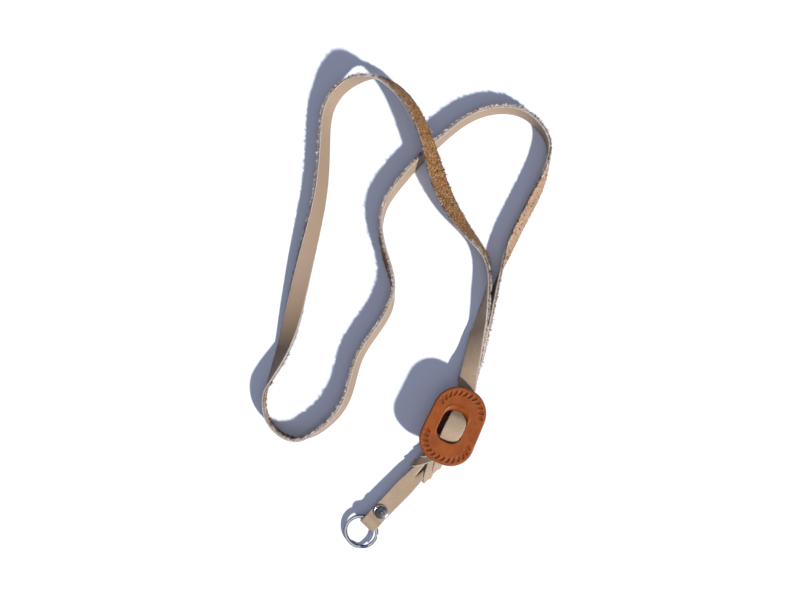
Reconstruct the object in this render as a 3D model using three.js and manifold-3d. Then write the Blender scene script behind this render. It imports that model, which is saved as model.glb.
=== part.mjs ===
// A leather neck strap for a loupe, as it lies on a table: one long strip in a twisted loop, a slider
// plate over its two legs, a short plait, and a tab folded round a split ring and held by a rivet.
// Millimetres, +Z up, with the middle of the whole outline over the origin.
import * as THREE from "three";
import Module from "manifold-3d";

const wasm = await Module();
wasm.setup();

// Driving sizes: the strip, the thicker tab, the space between the legs, the length of one facet, the space
// between pieces, and the middle of the outline in the measured layout below.
const STRAP_WIDTH = 10;
const STRAP_THICK = 1.6;
const TAB_THICK = 2;
const LEG_GAP = 0.45;
const STRAP_STEP = 3;
const FIT_GAP = 0.3;
const CENTRE = [0.372, -0.491];

// The slider plate: where its middle lies, how far its long way turns from +Y, its underside's height, and
// where its window's middle lies on it.
const SLIDER = {
  centre: [26.8, -63.5],
  heading: 24.5,
  under: 15.25,
  width: 31,
  length: 45,
  corner: 13.9,
  thick: 3,
  bevel: 0.6,
  windowWidth: 14.2,
  windowLength: 18.6,
  windowCorner: 4.4,
  windowAt: [-0.7, -0.5],
};
// The band behind the legs: its place along the plate, its risers' inner and outer faces, and its depth.
const KEEPER = { at: 1.2, inner: 8.1, outer: 10.4, length: 19, thick: 2, drop: 7.9 };

// Everything below the slider lies along one straight line from this start.
const TAIL = { start: [20.2, -78.3], heading: 226 };

// The plait: ways along the tail of its chevrons' tips, the run from a tip to a side lobe, and the oval
// that the bands follow round the core.
const PLAIT = {
  start: -3,
  end: 19.4,
  apexes: [-7.7, 0.2, 8.1],
  run: 9.2,
  drift: 3,
  side: 5.3,
  rise: 2.6,
  bandWidth: 4.4,
  bandThick: 1.8,
  bandTurns: [-24, 168],
  bandSteps: 12,
  stagger: 1.2,
  coreSide: 4,
  coreRise: 2.2,
  topHeight: 4.25,
  tabHeight: 4.1,
};

// The tab's eye round the ring: its axis, inner radius, the slope down to the flat layers and the bends
// that ease it, and where the lower layer ends.
const FOLD = {
  axis: 57.8,
  inner: 2.1,
  neckAngle: 33,
  steps: 18,
  before: 0.7,
  after: 0.5,
  lift: 0.35,
  tailEnd: 39.5,
};
const SLIT = { length: 3.4, width: 1.6, depth: 8 };

// The rivet: its place along the tail, its hole, and how far its caps stand off the leather.
const RIVET = {
  at: 49.6,
  cap: 4.15,
  post: 1.5,
  hole: 1.8,
  seat: 0.2,
  capHeight: 1.4,
  backCap: 3.9,
  backHeight: 1,
};

// The two-turn ring: radii, wire height, rise from coil to coil, the angle in which it rises, the angle at
// which it starts, the gap at its end, and how it hangs in the eye.
const RING = {
  outer: 10,
  inner: 8.2,
  wire: 0.9,
  soft: 0.2,
  pitch: 0.98,
  jog: 40,
  start: 75,
  endGap: 5,
  steps: 84,
  reach: 8.5,
  tilt: 9.6,
};

// Middle of the pair of legs where they lie one on the other, from the plait up through the slider.
// Columns: x, y and height of the middle.
const STACK = [
  [19.8, -78.95, 4.9],
  [22.26, -74.18, 10.00],
  [23.59, -71.27, 12.40],
  [26.36, -65.06, 15.80],
  [28.56, -60.24, 14.90],
  [30.51, -56.07, 12.65],
  [33.92, -47.19, 9.2],
  [35.22, -40.47, 7.3],
];

// The rest of the strip, a row for each bend or twist, from the upper leg round the loop to the lower leg.
// Columns: x, y, height of the middle, and lean of the smooth face in degrees: 0 faces left of the way
// along, 90 faces up, 180 faces right, and below 0 or over 180 turns it towards the table.
const LOOP = [
  [36.2, -35.0, 7.3, 86],
  [38.2, -26.2, 6.3, 69],
  [41.0, -13.0, 5.8, 51],
  [43.4, -4.4, 5.6, 34],
  [45.3, 4.4, 5.4, 18],
  [47.2, 14.0, 5.0, 2],
  [47.6, 25.5, 5.3, -10],
  [44.9, 34.1, 5.9, -16],
  [37.6, 43.8, 7.6, -30],
  [29.8, 53.9, 10.0, -51],
  [18.9, 75.2, 13.4, -66],
  [13.2, 93.4, 15.0, -47],
  [5.2, 113.2, 15.4, -34],
  [-5.4, 126.9, 15.6, -21],
  [-18.3, 133.6, 14.6, -4],
  [-30.4, 132.0, 9.8, 20],
  [-37.6, 127.6, 7.2, 27],
  [-43.1, 120.5, 5.7, 29],
  [-46.7, 100.9, 5.2, 31],
  [-48.5, 73.8, 4.9, 40],
  [-56.3, 36.5, 4.2, 62],
  [-63.0, 7.7, 3.6, 85],
  [-70.0, -18.8, 4.4, 128],
  [-78.1, -38.4, 5.2, 168],
  [-80.9, -45.3, 5.0, 180],
  [-81.7, -51.6, 5.0, 180],
  [-76.7, -65.4, 5.0, 180],
  [-63.8, -72.8, 5.0, 180],
  [-49.4, -67.4, 5.2, 167],
  [-34.6, -50.4, 5.25, 162],
  [-26.7, -25.4, 5.25, 161],
  [-10.2, 0.8, 5.25, 164],
  [-7.0, 14.6, 5.15, 183],
  [-10.5, 29.5, 5.25, 194],
  [-13.6, 43.3, 5.15, 186],
  [-12.9, 58.3, 5.15, 172],
  [-1.9, 76.7, 5.25, 162],
  [22.0, 101.1, 5.25, 165],
  [36.9, 112.1, 5.25, 165],
  [53.0, 117.0, 5.25, 165],
  [66.9, 115.1, 5.2, 167],
  [77.8, 106.0, 5.15, 171],
  [81.9, 98.0, 5.05, 178],
  [81.7, 88.2, 5.1, 184],
  [73.2, 65.7, 5.35, 202],
  [61.8, 43.3, 5.3, 200],
  [54.1, 22.6, 5.05, 182],
  [48.8, 4.2, 5.15, 164],
  [46.2, -4.4, 5.05, 152],
  [43.1, -13.1, 4.3, 132],
  [39.6, -26.3, 4.0, 112],
  [36.6, -35.2, 4.7, 95],
];

// Middle line of the upper layer of the tab, from the plait to the rivet.
// Columns: way along, height, width.
const TAB = [
  [19.75, 4.8, 8.8],
  [24, 4.9, 9.6],
  [31, 4.75, 10.4],
  [39, 5.1, 10.1],
  [45, 5.25, 9.9],
];

// Profile of the rivet's upper cap. Columns: share of the cap's radius, share of its height.
const CAP = [
  [1, 0.32],
  [0.9, 0.57],
  [0.76, 0.61],
  [0.7, 0.9],
  [0.55, 1],
  [0, 1],
];

const rad = THREE.MathUtils.degToRad;

// Smooth curve through values at given knots with no jump in curvature and no bending at its ends.
function naturalCurve(knots, values) {
  const last = knots.length - 1;
  const step = knots.slice(1).map((k, i) => k - knots[i]);
  const slope = step.map((h, i) => (values[i + 1] - values[i]) / h);
  const bend = new Array(last + 1).fill(0);
  const carry = [0];
  const part = [0];
  for (let i = 1; i < last; i++) {
    const pivot = 2 * (step[i - 1] + step[i]) - step[i - 1] * carry[i - 1];
    carry.push(step[i] / pivot);
    part.push((6 * (slope[i] - slope[i - 1]) - step[i - 1] * part[i - 1]) / pivot);
  }
  for (let i = last - 1; i > 0; i--) bend[i] = part[i] - carry[i] * bend[i + 1];
  return (u) => {
    let i = 0;
    while (i < last - 1 && u > knots[i + 1]) i++;
    const h = step[i];
    const a = knots[i + 1] - u;
    const b = u - knots[i];
    const cubic = (bend[i] * a ** 3 + bend[i + 1] * b ** 3) / (6 * h);
    const from = values[i] / h - (bend[i] * h) / 6;
    const to = values[i + 1] / h - (bend[i + 1] * h) / 6;
    return cubic + from * a + to * b;
  };
}

// Smooth curve through values at given knots that never swings past them and is level between equal ones.
function steadyCurve(knots, values) {
  const last = knots.length - 1;
  const step = knots.slice(1).map((k, i) => k - knots[i]);
  const slope = step.map((h, i) => (values[i + 1] - values[i]) / h);
  const grade = knots.map((_, i) => {
    if (i === 0) return slope[0];
    if (i === last) return slope[last - 1];
    if (slope[i - 1] * slope[i] <= 0) return 0;
    const before = 2 * step[i] + step[i - 1];
    const after = step[i] + 2 * step[i - 1];
    return (before + after) / (before / slope[i - 1] + after / slope[i]);
  });
  return (u) => {
    let i = 0;
    while (i < last - 1 && u > knots[i + 1]) i++;
    const h = step[i];
    const t = (u - knots[i]) / h;
    const from = values[i] * (1 + 2 * t) + h * grade[i] * t;
    const to = values[i + 1] * (3 - 2 * t) + h * grade[i + 1] * (t - 1);
    return from * (1 - t) ** 2 + to * t * t;
  };
}

// Length of the way along a list of points, as a running total.
function runningLength(points) {
  const total = [0];
  for (let i = 1; i < points.length; i++) total.push(total[i - 1] + points[i].distanceTo(points[i - 1]));
  return total;
}

// Direction of a line of points at each of them.
function headings(points) {
  return points.map((_, i) => {
    const ahead = points[Math.min(i + 1, points.length - 1)];
    return ahead.clone().sub(points[Math.max(i - 1, 0)]).normalize();
  });
}

// Normal of a strip's smooth face at a lean, for a strip that runs along the given direction.
function faceNormal(along, lean) {
  const left = new THREE.Vector3(0, 0, 1).cross(along).normalize();
  const up = along.clone().cross(left);
  return left.multiplyScalar(Math.cos(rad(lean))).addScaledVector(up, Math.sin(rad(lean)));
}

// A closed skin over a row of rings of points, all with the same count and wound the same way round the path.
function skin(rings) {
  const count = rings[0].length;
  const positions = rings.flat().flatMap((p) => [p.x, p.y, p.z]);
  const faces = [];
  for (let i = 0; i + 1 < rings.length; i++) {
    for (let k = 0; k < count; k++) {
      const a = i * count + k;
      const b = i * count + ((k + 1) % count);
      faces.push(a, b, b + count, a, b + count, a + count);
    }
  }
  const end = (rings.length - 1) * count;
  for (let k = 1; k + 1 < count; k++) faces.push(0, k + 1, k, end, end + k, end + k + 1);
  const geometry = new THREE.BufferGeometry();
  geometry.setAttribute("position", new THREE.Float32BufferAttribute(positions, 3));
  geometry.setIndex(faces);
  return geometry;
}

// A flat strip along a line of points: each row has its middle, face normal, width and thickness.
function strip(rows) {
  const along = headings(rows.map((row) => row.middle));
  const rings = rows.map((row, i) => {
    const normal = row.normal.clone().addScaledVector(along[i], -row.normal.dot(along[i])).normalize();
    const across = along[i].clone().cross(normal);
    const corner = (a, b) =>
      row.middle
        .clone()
        .addScaledVector(across, (a * row.width) / 2)
        .addScaledVector(normal, (b * row.thick) / 2);
    return [corner(1, 1), corner(-1, 1), corner(-1, -1), corner(1, -1)].reverse();
  });
  return skin(rings);
}

// Solids for boolean work, and back to geometry with crisp facets.
function solid(geometry) {
  const flat = geometry.index ? geometry.toNonIndexed() : geometry;
  const position = flat.getAttribute("position");
  const seen = new Map();
  const points = [];
  const triVerts = new Uint32Array(position.count);
  for (let i = 0; i < position.count; i++) {
    const p = [position.getX(i), position.getY(i), position.getZ(i)];
    const key = p.map((v) => Math.round(v * 1e4)).join();
    if (!seen.has(key)) {
      seen.set(key, points.length / 3);
      points.push(...p);
    }
    triVerts[i] = seen.get(key);
  }
  const vertProperties = new Float32Array(points);
  return new wasm.Manifold(new wasm.Mesh({ numProp: 3, vertProperties, triVerts }));
}

function geometryOf(manifold) {
  const mesh = manifold.getMesh();
  const geometry = new THREE.BufferGeometry();
  geometry.setAttribute("position", new THREE.BufferAttribute(mesh.vertProperties, 3));
  geometry.setIndex(new THREE.BufferAttribute(mesh.triVerts, 1));
  const facets = geometry.toNonIndexed();
  facets.computeVertexNormals();
  return facets;
}

function leather(color, roughness) {
  return new THREE.MeshStandardMaterial({ color, roughness, metalness: 0 });
}

function named(name, geometry, material) {
  const mesh = new THREE.Mesh(geometry, material);
  mesh.name = name;
  return mesh;
}

// The loop: both legs are the stack moved half a strap and half the gap along the face normal.
function strapRows() {
  const stack = STACK.map((row) => new THREE.Vector3(...row));
  const away = headings(stack).map((along) => faceNormal(along, 90));
  const half = (STRAP_THICK + LEG_GAP) / 2;
  const upper = stack.map((p, i) => [...p.clone().addScaledVector(away[i], half).toArray(), 90]);
  const lower = stack.map((p, i) => [...p.clone().addScaledVector(away[i], -half).toArray(), 90]);
  return [...upper, ...LOOP, ...lower.reverse()];
}

// Height of the middle of a strip that leans and just touches the table.
function restingHeight(lean) {
  const upright = STRAP_WIDTH * Math.abs(Math.cos(rad(lean)));
  const flat = STRAP_THICK * Math.abs(Math.sin(rad(lean)));
  return (upright + flat) / 2;
}

function neckStrap() {
  const rows = strapRows();
  const knots = runningLength(rows.map((row) => new THREE.Vector3(row[0], row[1], 0)));
  const column = (k) => rows.map((row) => row[k]);
  const x = naturalCurve(knots, column(0));
  const y = naturalCurve(knots, column(1));
  const height = steadyCurve(knots, column(2));
  const lean = steadyCurve(knots, column(3));
  const whole = knots[knots.length - 1];
  const count = Math.round(whole / STRAP_STEP);
  const ways = Array.from({ length: count + 1 }, (_, i) => (whole * i) / count);
  const level = (u) => Math.max(height(u), restingHeight(lean(u)));
  const middles = ways.map((u) => new THREE.Vector3(x(u), y(u), level(u)));
  const along = headings(middles);
  return strip(
    middles.map((middle, i) => ({
      middle,
      normal: faceNormal(along[i], lean(ways[i])),
      width: STRAP_WIDTH,
      thick: STRAP_THICK,
    })),
  );
}

// Outline with straight sides and rounded corners about a middle.
function roundedOutline(width, length, corner, path, [mx, my] = [0, 0]) {
  const x = width / 2 - corner;
  const y = length / 2 - corner;
  path.absarc(mx + x, my - y, corner, -Math.PI / 2, 0, false);
  path.absarc(mx + x, my + y, corner, 0, Math.PI / 2, false);
  path.absarc(mx - x, my + y, corner, Math.PI / 2, Math.PI, false);
  path.absarc(mx - x, my - y, corner, Math.PI, Math.PI * 1.5, false);
  path.closePath();
  return path;
}

// The slider plate with its window, joined to the band that keeps the two legs up in the window.
function slider() {
  const shrink = 2 * SLIDER.bevel;
  const face = roundedOutline(
    SLIDER.width - shrink,
    SLIDER.length - shrink,
    SLIDER.corner - SLIDER.bevel,
    new THREE.Shape(),
  );
  face.holes.push(
    roundedOutline(
      SLIDER.windowWidth + shrink,
      SLIDER.windowLength + shrink,
      SLIDER.windowCorner + SLIDER.bevel,
      new THREE.Path(),
      SLIDER.windowAt,
    ),
  );
  const plate = new THREE.ExtrudeGeometry(face, {
    depth: SLIDER.thick - shrink,
    bevelThickness: SLIDER.bevel,
    bevelSize: SLIDER.bevel,
    bevelSegments: 2,
    curveSegments: 8,
  });
  plate.translate(0, 0, SLIDER.bevel);
  const bar = new THREE.BoxGeometry(2 * KEEPER.outer, KEEPER.length, KEEPER.thick);
  bar.translate(0, KEEPER.at, KEEPER.thick / 2 - KEEPER.drop);
  const riserHeight = KEEPER.drop + SLIDER.thick / 2;
  const riser = (side) => {
    const block = new THREE.BoxGeometry(KEEPER.outer - KEEPER.inner, KEEPER.length, riserHeight);
    block.translate((side * (KEEPER.outer + KEEPER.inner)) / 2, KEEPER.at, riserHeight / 2 - KEEPER.drop);
    return solid(block);
  };
  return geometryOf(wasm.Manifold.union([solid(plate), solid(bar), riser(1), riser(-1)]));
}

// Height of the plait's middle line.
function plaitHeight(way) {
  return THREE.MathUtils.mapLinear(way, 0, PLAIT.end, PLAIT.topHeight, PLAIT.tabHeight);
}

// One band of a chevron, from the top middle of the plait round one side to beneath it.
function plaitBand(apex, side) {
  const rows = [];
  for (let i = 0; i <= PLAIT.bandSteps; i++) {
    const turn = THREE.MathUtils.lerp(...PLAIT.bandTurns, i / PLAIT.bandSteps);
    const a = rad(turn);
    const sweep = rad(THREE.MathUtils.clamp(turn, 0, 90));
    const way = apex + PLAIT.run * (1 - Math.cos(sweep)) + (PLAIT.drift * turn) / 180;
    const spread = side * PLAIT.side * Math.sin(a);
    const lift = PLAIT.rise * Math.cos(a);
    const normal = new THREE.Vector3(0, spread / PLAIT.side ** 2, lift / PLAIT.rise ** 2).normalize();
    const middle = new THREE.Vector3(way, spread, plaitHeight(way) + lift);
    rows.push({ middle, normal, width: PLAIT.bandWidth, thick: PLAIT.bandThick });
  }
  return solid(strip(rows));
}

// The plait: chevrons round a rounded core, cut square to the legs at one end and to the tab at the other.
function plait(cut) {
  const oval = new THREE.Shape().absellipse(0, 0, PLAIT.coreRise, PLAIT.coreSide, 0, Math.PI * 2);
  const on = (way) => new THREE.Vector3(way, 0, plaitHeight(way));
  const line = new THREE.LineCurve3(on(PLAIT.start), on(PLAIT.end + PLAIT.bandThick));
  const core = new THREE.ExtrudeGeometry(oval, { steps: 1, curveSegments: 8, extrudePath: line });
  const bands = PLAIT.apexes.flatMap((apex) => [plaitBand(apex, 1), plaitBand(apex + PLAIT.stagger, -1)]);
  const whole = wasm.Manifold.union([solid(core), ...bands]);
  return geometryOf(whole.trimByPlane([-1, 0, 0], -PLAIT.end).trimByPlane(cut.normal, cut.offset));
}

// The tab as one strip: the upper layer, the fold round the ring, and the lower layer back past the rivet.
function ringTab() {
  const fold = FOLD.inner + TAB_THICK / 2;
  const floor = FOLD.inner + TAB_THICK;
  const layer = (TAB_THICK + FIT_GAP) / 2;
  const neck = rad(FOLD.neckAngle);
  const neckRun = (fold * Math.cos(neck) - layer) / Math.tan(neck);
  const kink = FOLD.axis - fold * Math.sin(neck) - neckRun;
  const knots = TAB.map((row) => row[0]);
  const height = steadyCurve(knots, TAB.map((row) => row[1]));
  const width = steadyCurve(knots, TAB.map((row) => row[2]));
  const end = TAB[TAB.length - 1];
  const line = [];
  for (let i = 0; i <= 8; i++) {
    const way = THREE.MathUtils.lerp(knots[0], end[0], i / 8);
    line.push([way, height(way), width(way)]);
  }
  line.push([kink - FOLD.before, floor + layer, end[2]]);
  line.push([kink + FOLD.after, floor + layer + FOLD.lift, end[2]]);
  const eyeEnd = 90 + FOLD.neckAngle;
  for (let i = 0; i <= FOLD.steps; i++) {
    const a = rad(THREE.MathUtils.lerp(eyeEnd, -eyeEnd, i / FOLD.steps));
    line.push([FOLD.axis + fold * Math.cos(a), floor + fold * Math.sin(a), end[2]]);
  }
  line.push([kink + FOLD.after, floor - layer - FOLD.lift, end[2]]);
  line.push([kink - FOLD.before, floor - layer, end[2]]);
  line.push([RIVET.at, floor - layer, end[2]]);
  line.push([FOLD.tailEnd, floor - layer, end[2]]);
  const middles = line.map(([way, z]) => new THREE.Vector3(way, 0, z));
  const along = headings(middles);
  const rows = middles.map((middle, i) => ({
    middle,
    normal: new THREE.Vector3(-along[i].z, 0, along[i].x),
    width: line[i][2],
    thick: TAB_THICK,
  }));
  const hole = new THREE.CylinderGeometry(RIVET.hole, RIVET.hole, 4 * floor, 24);
  hole.rotateX(Math.PI / 2).translate(RIVET.at, 0, floor);
  const notch = new THREE.Shape();
  notch.moveTo(knots[0] - 1, -SLIT.width / 2);
  notch.lineTo(knots[0] + SLIT.length, 0);
  notch.lineTo(knots[0] - 1, SLIT.width / 2);
  const wedge = new THREE.ExtrudeGeometry(notch, { depth: SLIT.depth, bevelEnabled: false });
  wedge.translate(0, 0, TAB[0][1] - SLIT.depth / 2);
  return geometryOf(solid(strip(rows)).subtract(solid(hole)).subtract(solid(wedge)));
}

// The rivet: a low flat-topped cap above, a flat cap below and the post between, turned about its axis.
function rivet() {
  const middle = FOLD.inner + TAB_THICK;
  const face = TAB_THICK + FIT_GAP / 2 + RIVET.seat;
  const top = middle + face;
  const back = middle - face;
  const profile = [
    [0, back - RIVET.backHeight],
    [RIVET.backCap * 0.82, back - RIVET.backHeight],
    [RIVET.backCap, back - RIVET.backHeight / 2],
    [RIVET.backCap, back],
    [RIVET.post, back],
    [RIVET.post, top],
    [RIVET.cap, top],
    ...CAP.map(([radius, height]) => [radius * RIVET.cap, top + height * RIVET.capHeight]),
  ];
  const turned = new THREE.LatheGeometry(profile.map(([r, z]) => new THREE.Vector2(r, z)), 28);
  return geometryOf(solid(turned.rotateX(Math.PI / 2)));
}

// The split ring: two turns of flat wire that step from the lower coil to the upper one at the jog.
function splitRing() {
  const whole = 720 - RING.jog - RING.endGap;
  const half = RING.wire / 2;
  const section = [
    [RING.inner, half - RING.soft],
    [RING.inner + RING.soft, half],
    [RING.outer - RING.soft, half],
    [RING.outer, half - RING.soft],
    [RING.outer, -half + RING.soft],
    [RING.outer - RING.soft, -half],
    [RING.inner + RING.soft, -half],
    [RING.inner, -half + RING.soft],
  ];
  const rings = [];
  for (let i = 0; i <= RING.steps; i++) {
    const turn = (whole * i) / RING.steps;
    const rise = (THREE.MathUtils.smoothstep(turn, 360 - RING.jog, 360) - 0.5) * RING.pitch;
    const a = rad(turn + RING.start);
    rings.push(section.map(([r, h]) => new THREE.Vector3(r * Math.cos(a), r * Math.sin(a), rise + h)));
  }
  return skin(rings);
}

const naturalLeather = leather(0xc6a98c, 0.75);
const saddleLeather = leather(0x9a4f25, 0.5);
const steel = new THREE.MeshStandardMaterial({ color: 0xc8ccd0, roughness: 0.22, metalness: 1 });
const darkNickel = new THREE.MeshStandardMaterial({ color: 0x55585c, roughness: 0.3, metalness: 1 });

const group = new THREE.Group();
group.position.set(-CENTRE[0], -CENTRE[1], 0);
group.add(named("neck_strap", neckStrap(), naturalLeather));

const plate = named("slider", slider(), saddleLeather);
plate.position.set(...SLIDER.centre, SLIDER.under);
plate.rotation.z = rad(-SLIDER.heading);
group.add(plate);

// Everything below the slider lies along one line: x runs towards the ring.
const tail = new THREE.Group();
tail.position.set(...TAIL.start, 0);
tail.rotation.z = rad(TAIL.heading);
tail.updateMatrixWorld();
const legEnd = new THREE.Vector3(...STACK[0]);
const legWay = legEnd.clone().sub(new THREE.Vector3(...STACK[1])).normalize();
const localEnd = tail.worldToLocal(legEnd.clone());
const localWay = tail.worldToLocal(legEnd.clone().add(legWay)).sub(localEnd);
const legCut = { normal: localWay.toArray(), offset: localEnd.dot(localWay) + FIT_GAP };
tail.add(named("plait", plait(legCut), naturalLeather));
tail.add(named("ring_tab", ringTab(), naturalLeather));

const pin = named("rivet", rivet(), darkNickel);
pin.position.x = RIVET.at;
tail.add(pin);

const ring = named("split_ring", splitRing(), steel);
const ringSwing = new THREE.Group();
ringSwing.position.set(FOLD.axis, 0, FOLD.inner + TAB_THICK);
ringSwing.rotation.y = rad(RING.tilt);
ring.position.x = RING.reach;
ringSwing.add(ring);
tail.add(ringSwing);
group.add(tail);

export default group;
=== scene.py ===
"""The looks of a leather neck strap for a loupe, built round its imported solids.

The strip lies on a table in a twisted loop. Its two legs pass under a slider plate into a short
plait, and a tab folded round a split ring hangs from the plait. Sizes are in millimetres in the
tables and in the pieces' fields, and in metres in the meshes, the finishes and the studio.
"""

import logging
import math
from dataclasses import dataclass, field
from enum import Enum, IntEnum

import bpy
import numpy as np
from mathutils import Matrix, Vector
from numpy.typing import NDArray


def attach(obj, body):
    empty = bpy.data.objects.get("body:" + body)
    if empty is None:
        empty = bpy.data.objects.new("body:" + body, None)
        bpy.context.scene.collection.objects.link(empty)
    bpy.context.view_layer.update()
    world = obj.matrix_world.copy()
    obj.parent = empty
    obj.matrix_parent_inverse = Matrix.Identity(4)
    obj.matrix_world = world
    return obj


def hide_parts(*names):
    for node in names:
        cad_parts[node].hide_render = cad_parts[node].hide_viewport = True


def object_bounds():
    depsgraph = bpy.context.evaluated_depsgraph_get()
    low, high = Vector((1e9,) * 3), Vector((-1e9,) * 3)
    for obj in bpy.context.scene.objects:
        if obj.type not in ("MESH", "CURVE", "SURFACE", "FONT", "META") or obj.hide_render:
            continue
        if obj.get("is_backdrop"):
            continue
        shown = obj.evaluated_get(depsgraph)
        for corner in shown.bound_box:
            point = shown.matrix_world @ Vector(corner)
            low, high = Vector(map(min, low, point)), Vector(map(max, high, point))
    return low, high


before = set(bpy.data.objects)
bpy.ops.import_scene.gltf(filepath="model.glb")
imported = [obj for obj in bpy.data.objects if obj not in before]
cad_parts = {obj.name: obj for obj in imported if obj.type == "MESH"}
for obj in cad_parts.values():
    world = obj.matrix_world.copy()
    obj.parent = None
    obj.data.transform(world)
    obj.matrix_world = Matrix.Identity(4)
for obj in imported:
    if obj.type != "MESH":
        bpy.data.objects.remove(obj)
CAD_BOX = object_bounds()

Floats = NDArray[np.float64]
Ints = NDArray[np.int64]
Pair = tuple[float, float]
Triple = tuple[float, float, float]
Colour = tuple[float, float, float]
Cloud = tuple[float, float, float]
Table = tuple[tuple[float, ...], ...]
Socket = bpy.types.NodeSocket

log = logging.getLogger("neck_strap")

MM = 0.001
CENTRE = np.array([0.372, -0.491, 0.0])
UP = np.array([0.0, 0.0, 1.0])
CORNER_STEPS = 4
WHITE: Colour = (1.0, 1.0, 1.0)
BLACK: Colour = (0.0, 0.0, 0.0)

# Middle of the pair of legs where they lie one on the other, from inside the plait up through the
# slider: x, y, height.
STACK = np.array([
    [17.6, -81.1, 4.0],
    [19.8, -78.95, 4.9],
    [22.18, -74.36, 9.6],
    [23.18, -72.4, 12.9],
    [24.44, -69.9, 15.6],
    [26.74, -65.45, 16.75],
    [29.19, -60.42, 16.1],
    [31.19, -56.05, 12.6],
    [33.92, -47.19, 9.2],
    [35.22, -40.47, 7.3],
])

# The rest of the strip, a row for each bend or twist: x, y, height of the middle, and lean of the
# grain in degrees, where 0 faces left of the way along, 90 up and 180 right.
LOOP = np.array([
    [36.2, -35.0, 7.3, 86],
    [38.2, -26.2, 6.3, 69],
    [41.0, -13.0, 5.8, 51],
    [43.4, -4.4, 5.6, 34],
    [45.3, 4.4, 5.4, 18],
    [47.2, 14.0, 5.0, 2],
    [47.6, 25.5, 5.3, -10],
    [44.9, 34.1, 5.9, -16],
    [37.6, 43.8, 7.6, -30],
    [29.8, 53.9, 8.6, -51],
    [18.9, 75.2, 11.3, -66],
    [13.2, 93.4, 14.0, -50],
    [5.2, 113.2, 15.4, -41],
    [-5.4, 126.9, 16.3, -31],
    [-18.3, 133.6, 16.1, -8],
    [-30.4, 132.0, 12.4, 20],
    [-37.6, 127.6, 8.8, 27],
    [-43.1, 120.5, 5.7, 29],
    [-46.7, 100.9, 5.2, 31],
    [-48.5, 73.8, 4.9, 40],
    [-56.3, 36.5, 4.2, 62],
    [-63.0, 7.7, 3.6, 85],
    [-70.0, -18.8, 4.4, 128],
    [-78.1, -38.4, 5.2, 168],
    [-80.9, -45.3, 5.0, 180],
    [-81.7, -51.6, 5.0, 180],
    [-76.7, -65.4, 5.0, 180],
    [-63.8, -72.8, 5.0, 180],
    [-49.4, -67.4, 5.2, 167],
    [-34.6, -50.4, 5.25, 162],
    [-26.7, -25.4, 5.25, 161],
    [-10.2, 0.8, 5.25, 164],
    [-7.0, 14.6, 5.15, 183],
    [-10.5, 29.5, 5.25, 194],
    [-13.6, 43.3, 5.15, 186],
    [-12.9, 58.3, 5.15, 172],
    [-1.9, 76.7, 5.25, 162],
    [22.0, 101.1, 5.25, 165],
    [36.9, 112.1, 5.25, 165],
    [53.0, 117.0, 5.25, 165],
    [66.9, 115.1, 5.2, 167],
    [77.8, 106.0, 5.15, 171],
    [81.9, 98.0, 5.05, 178],
    [81.7, 88.2, 5.1, 188],
    [73.2, 65.7, 4.8, 213],
    [61.8, 43.3, 4.8, 211],
    [54.1, 22.6, 5.05, 182],
    [48.8, 4.2, 5.15, 164],
    [46.2, -4.4, 5.05, 152],
    [43.1, -13.1, 4.3, 132],
    [39.6, -26.3, 4.0, 112],
    [36.6, -35.2, 4.7, 95],
])


class Body(Enum):
    """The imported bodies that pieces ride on."""

    STRAP = "strap"
    RING = "ring"


class Slot(Enum):
    """The record's material slots."""

    STRAP = "strap_leather"
    SLIDER = "slider_leather"
    RIVET = "rivet_metal"
    RING = "ring_steel"


class Side(IntEnum):
    """Sides of a leather strip, which are also the places of its finishes in a piece."""

    GRAIN = 0
    EDGE = 1
    FLESH = 2


# Curves


def natural_curve(knots: Floats, values: Floats, ways: Floats) -> Floats:
    """Cubic through the values whose bending runs on smoothly and is nil at both ends.

    The second derivatives solve the tridiagonal system
    h0 b0 + 2 (h0 + h1) b1 + h1 b2 = 6 (s1 - s0).

    Args:
        knots: Rising places of the values.
        values: One value for each knot.
        ways: Places to work out.

    Returns:
        The curve's value at each place.
    """
    step = np.diff(knots)
    slope = np.diff(values) / step
    inner = np.arange(1, len(knots) - 1)
    system = np.eye(len(knots))
    system[inner, inner - 1] = step[:-1]
    system[inner, inner] = 2 * (step[:-1] + step[1:])
    system[inner, inner + 1] = step[1:]
    right = np.zeros(len(knots))
    right[inner] = 6 * np.diff(slope)
    bend = np.linalg.solve(system, right)
    i = np.clip(np.searchsorted(knots, ways) - 1, 0, len(knots) - 2)
    h, a, b = step[i], knots[i + 1] - ways, ways - knots[i]
    cubic = (bend[i] * a**3 + bend[i + 1] * b**3) / (6 * h)
    first, second = values[i] / h - bend[i] * h / 6, values[i + 1] / h - bend[i + 1] * h / 6
    return cubic + first * a + second * b


def steady_curve(knots: Floats, values: Floats, ways: Floats) -> Floats:
    """Cubic through the values that never swings past them: its slope at a knot is the weighted
    harmonic mean of the slopes beside it, or nil where they differ in sign.

    Args:
        knots: Rising places of the values.
        values: One value for each knot.
        ways: Places to work out.

    Returns:
        The curve's value at each place.
    """
    step = np.diff(knots)
    slope = np.diff(values) / step
    before, after = 2 * step[1:] + step[:-1], step[1:] + 2 * step[:-1]
    same = slope[:-1] * slope[1:] > 0
    safe = np.where(same, slope[:-1], 1.0), np.where(same, slope[1:], 1.0)
    mean = (before + after) / (before / safe[0] + after / safe[1])
    grade = np.concatenate([slope[:1], np.where(same, mean, 0.0), slope[-1:]])
    i = np.clip(np.searchsorted(knots, ways) - 1, 0, len(knots) - 2)
    h = step[i]
    t = (ways - knots[i]) / h
    start = values[i] * (1 + 2 * t) + h * grade[i] * t
    end = values[i + 1] * (3 - 2 * t) + h * grade[i + 1] * (t - 1)
    return start * (1 - t) ** 2 + end * t * t


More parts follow.
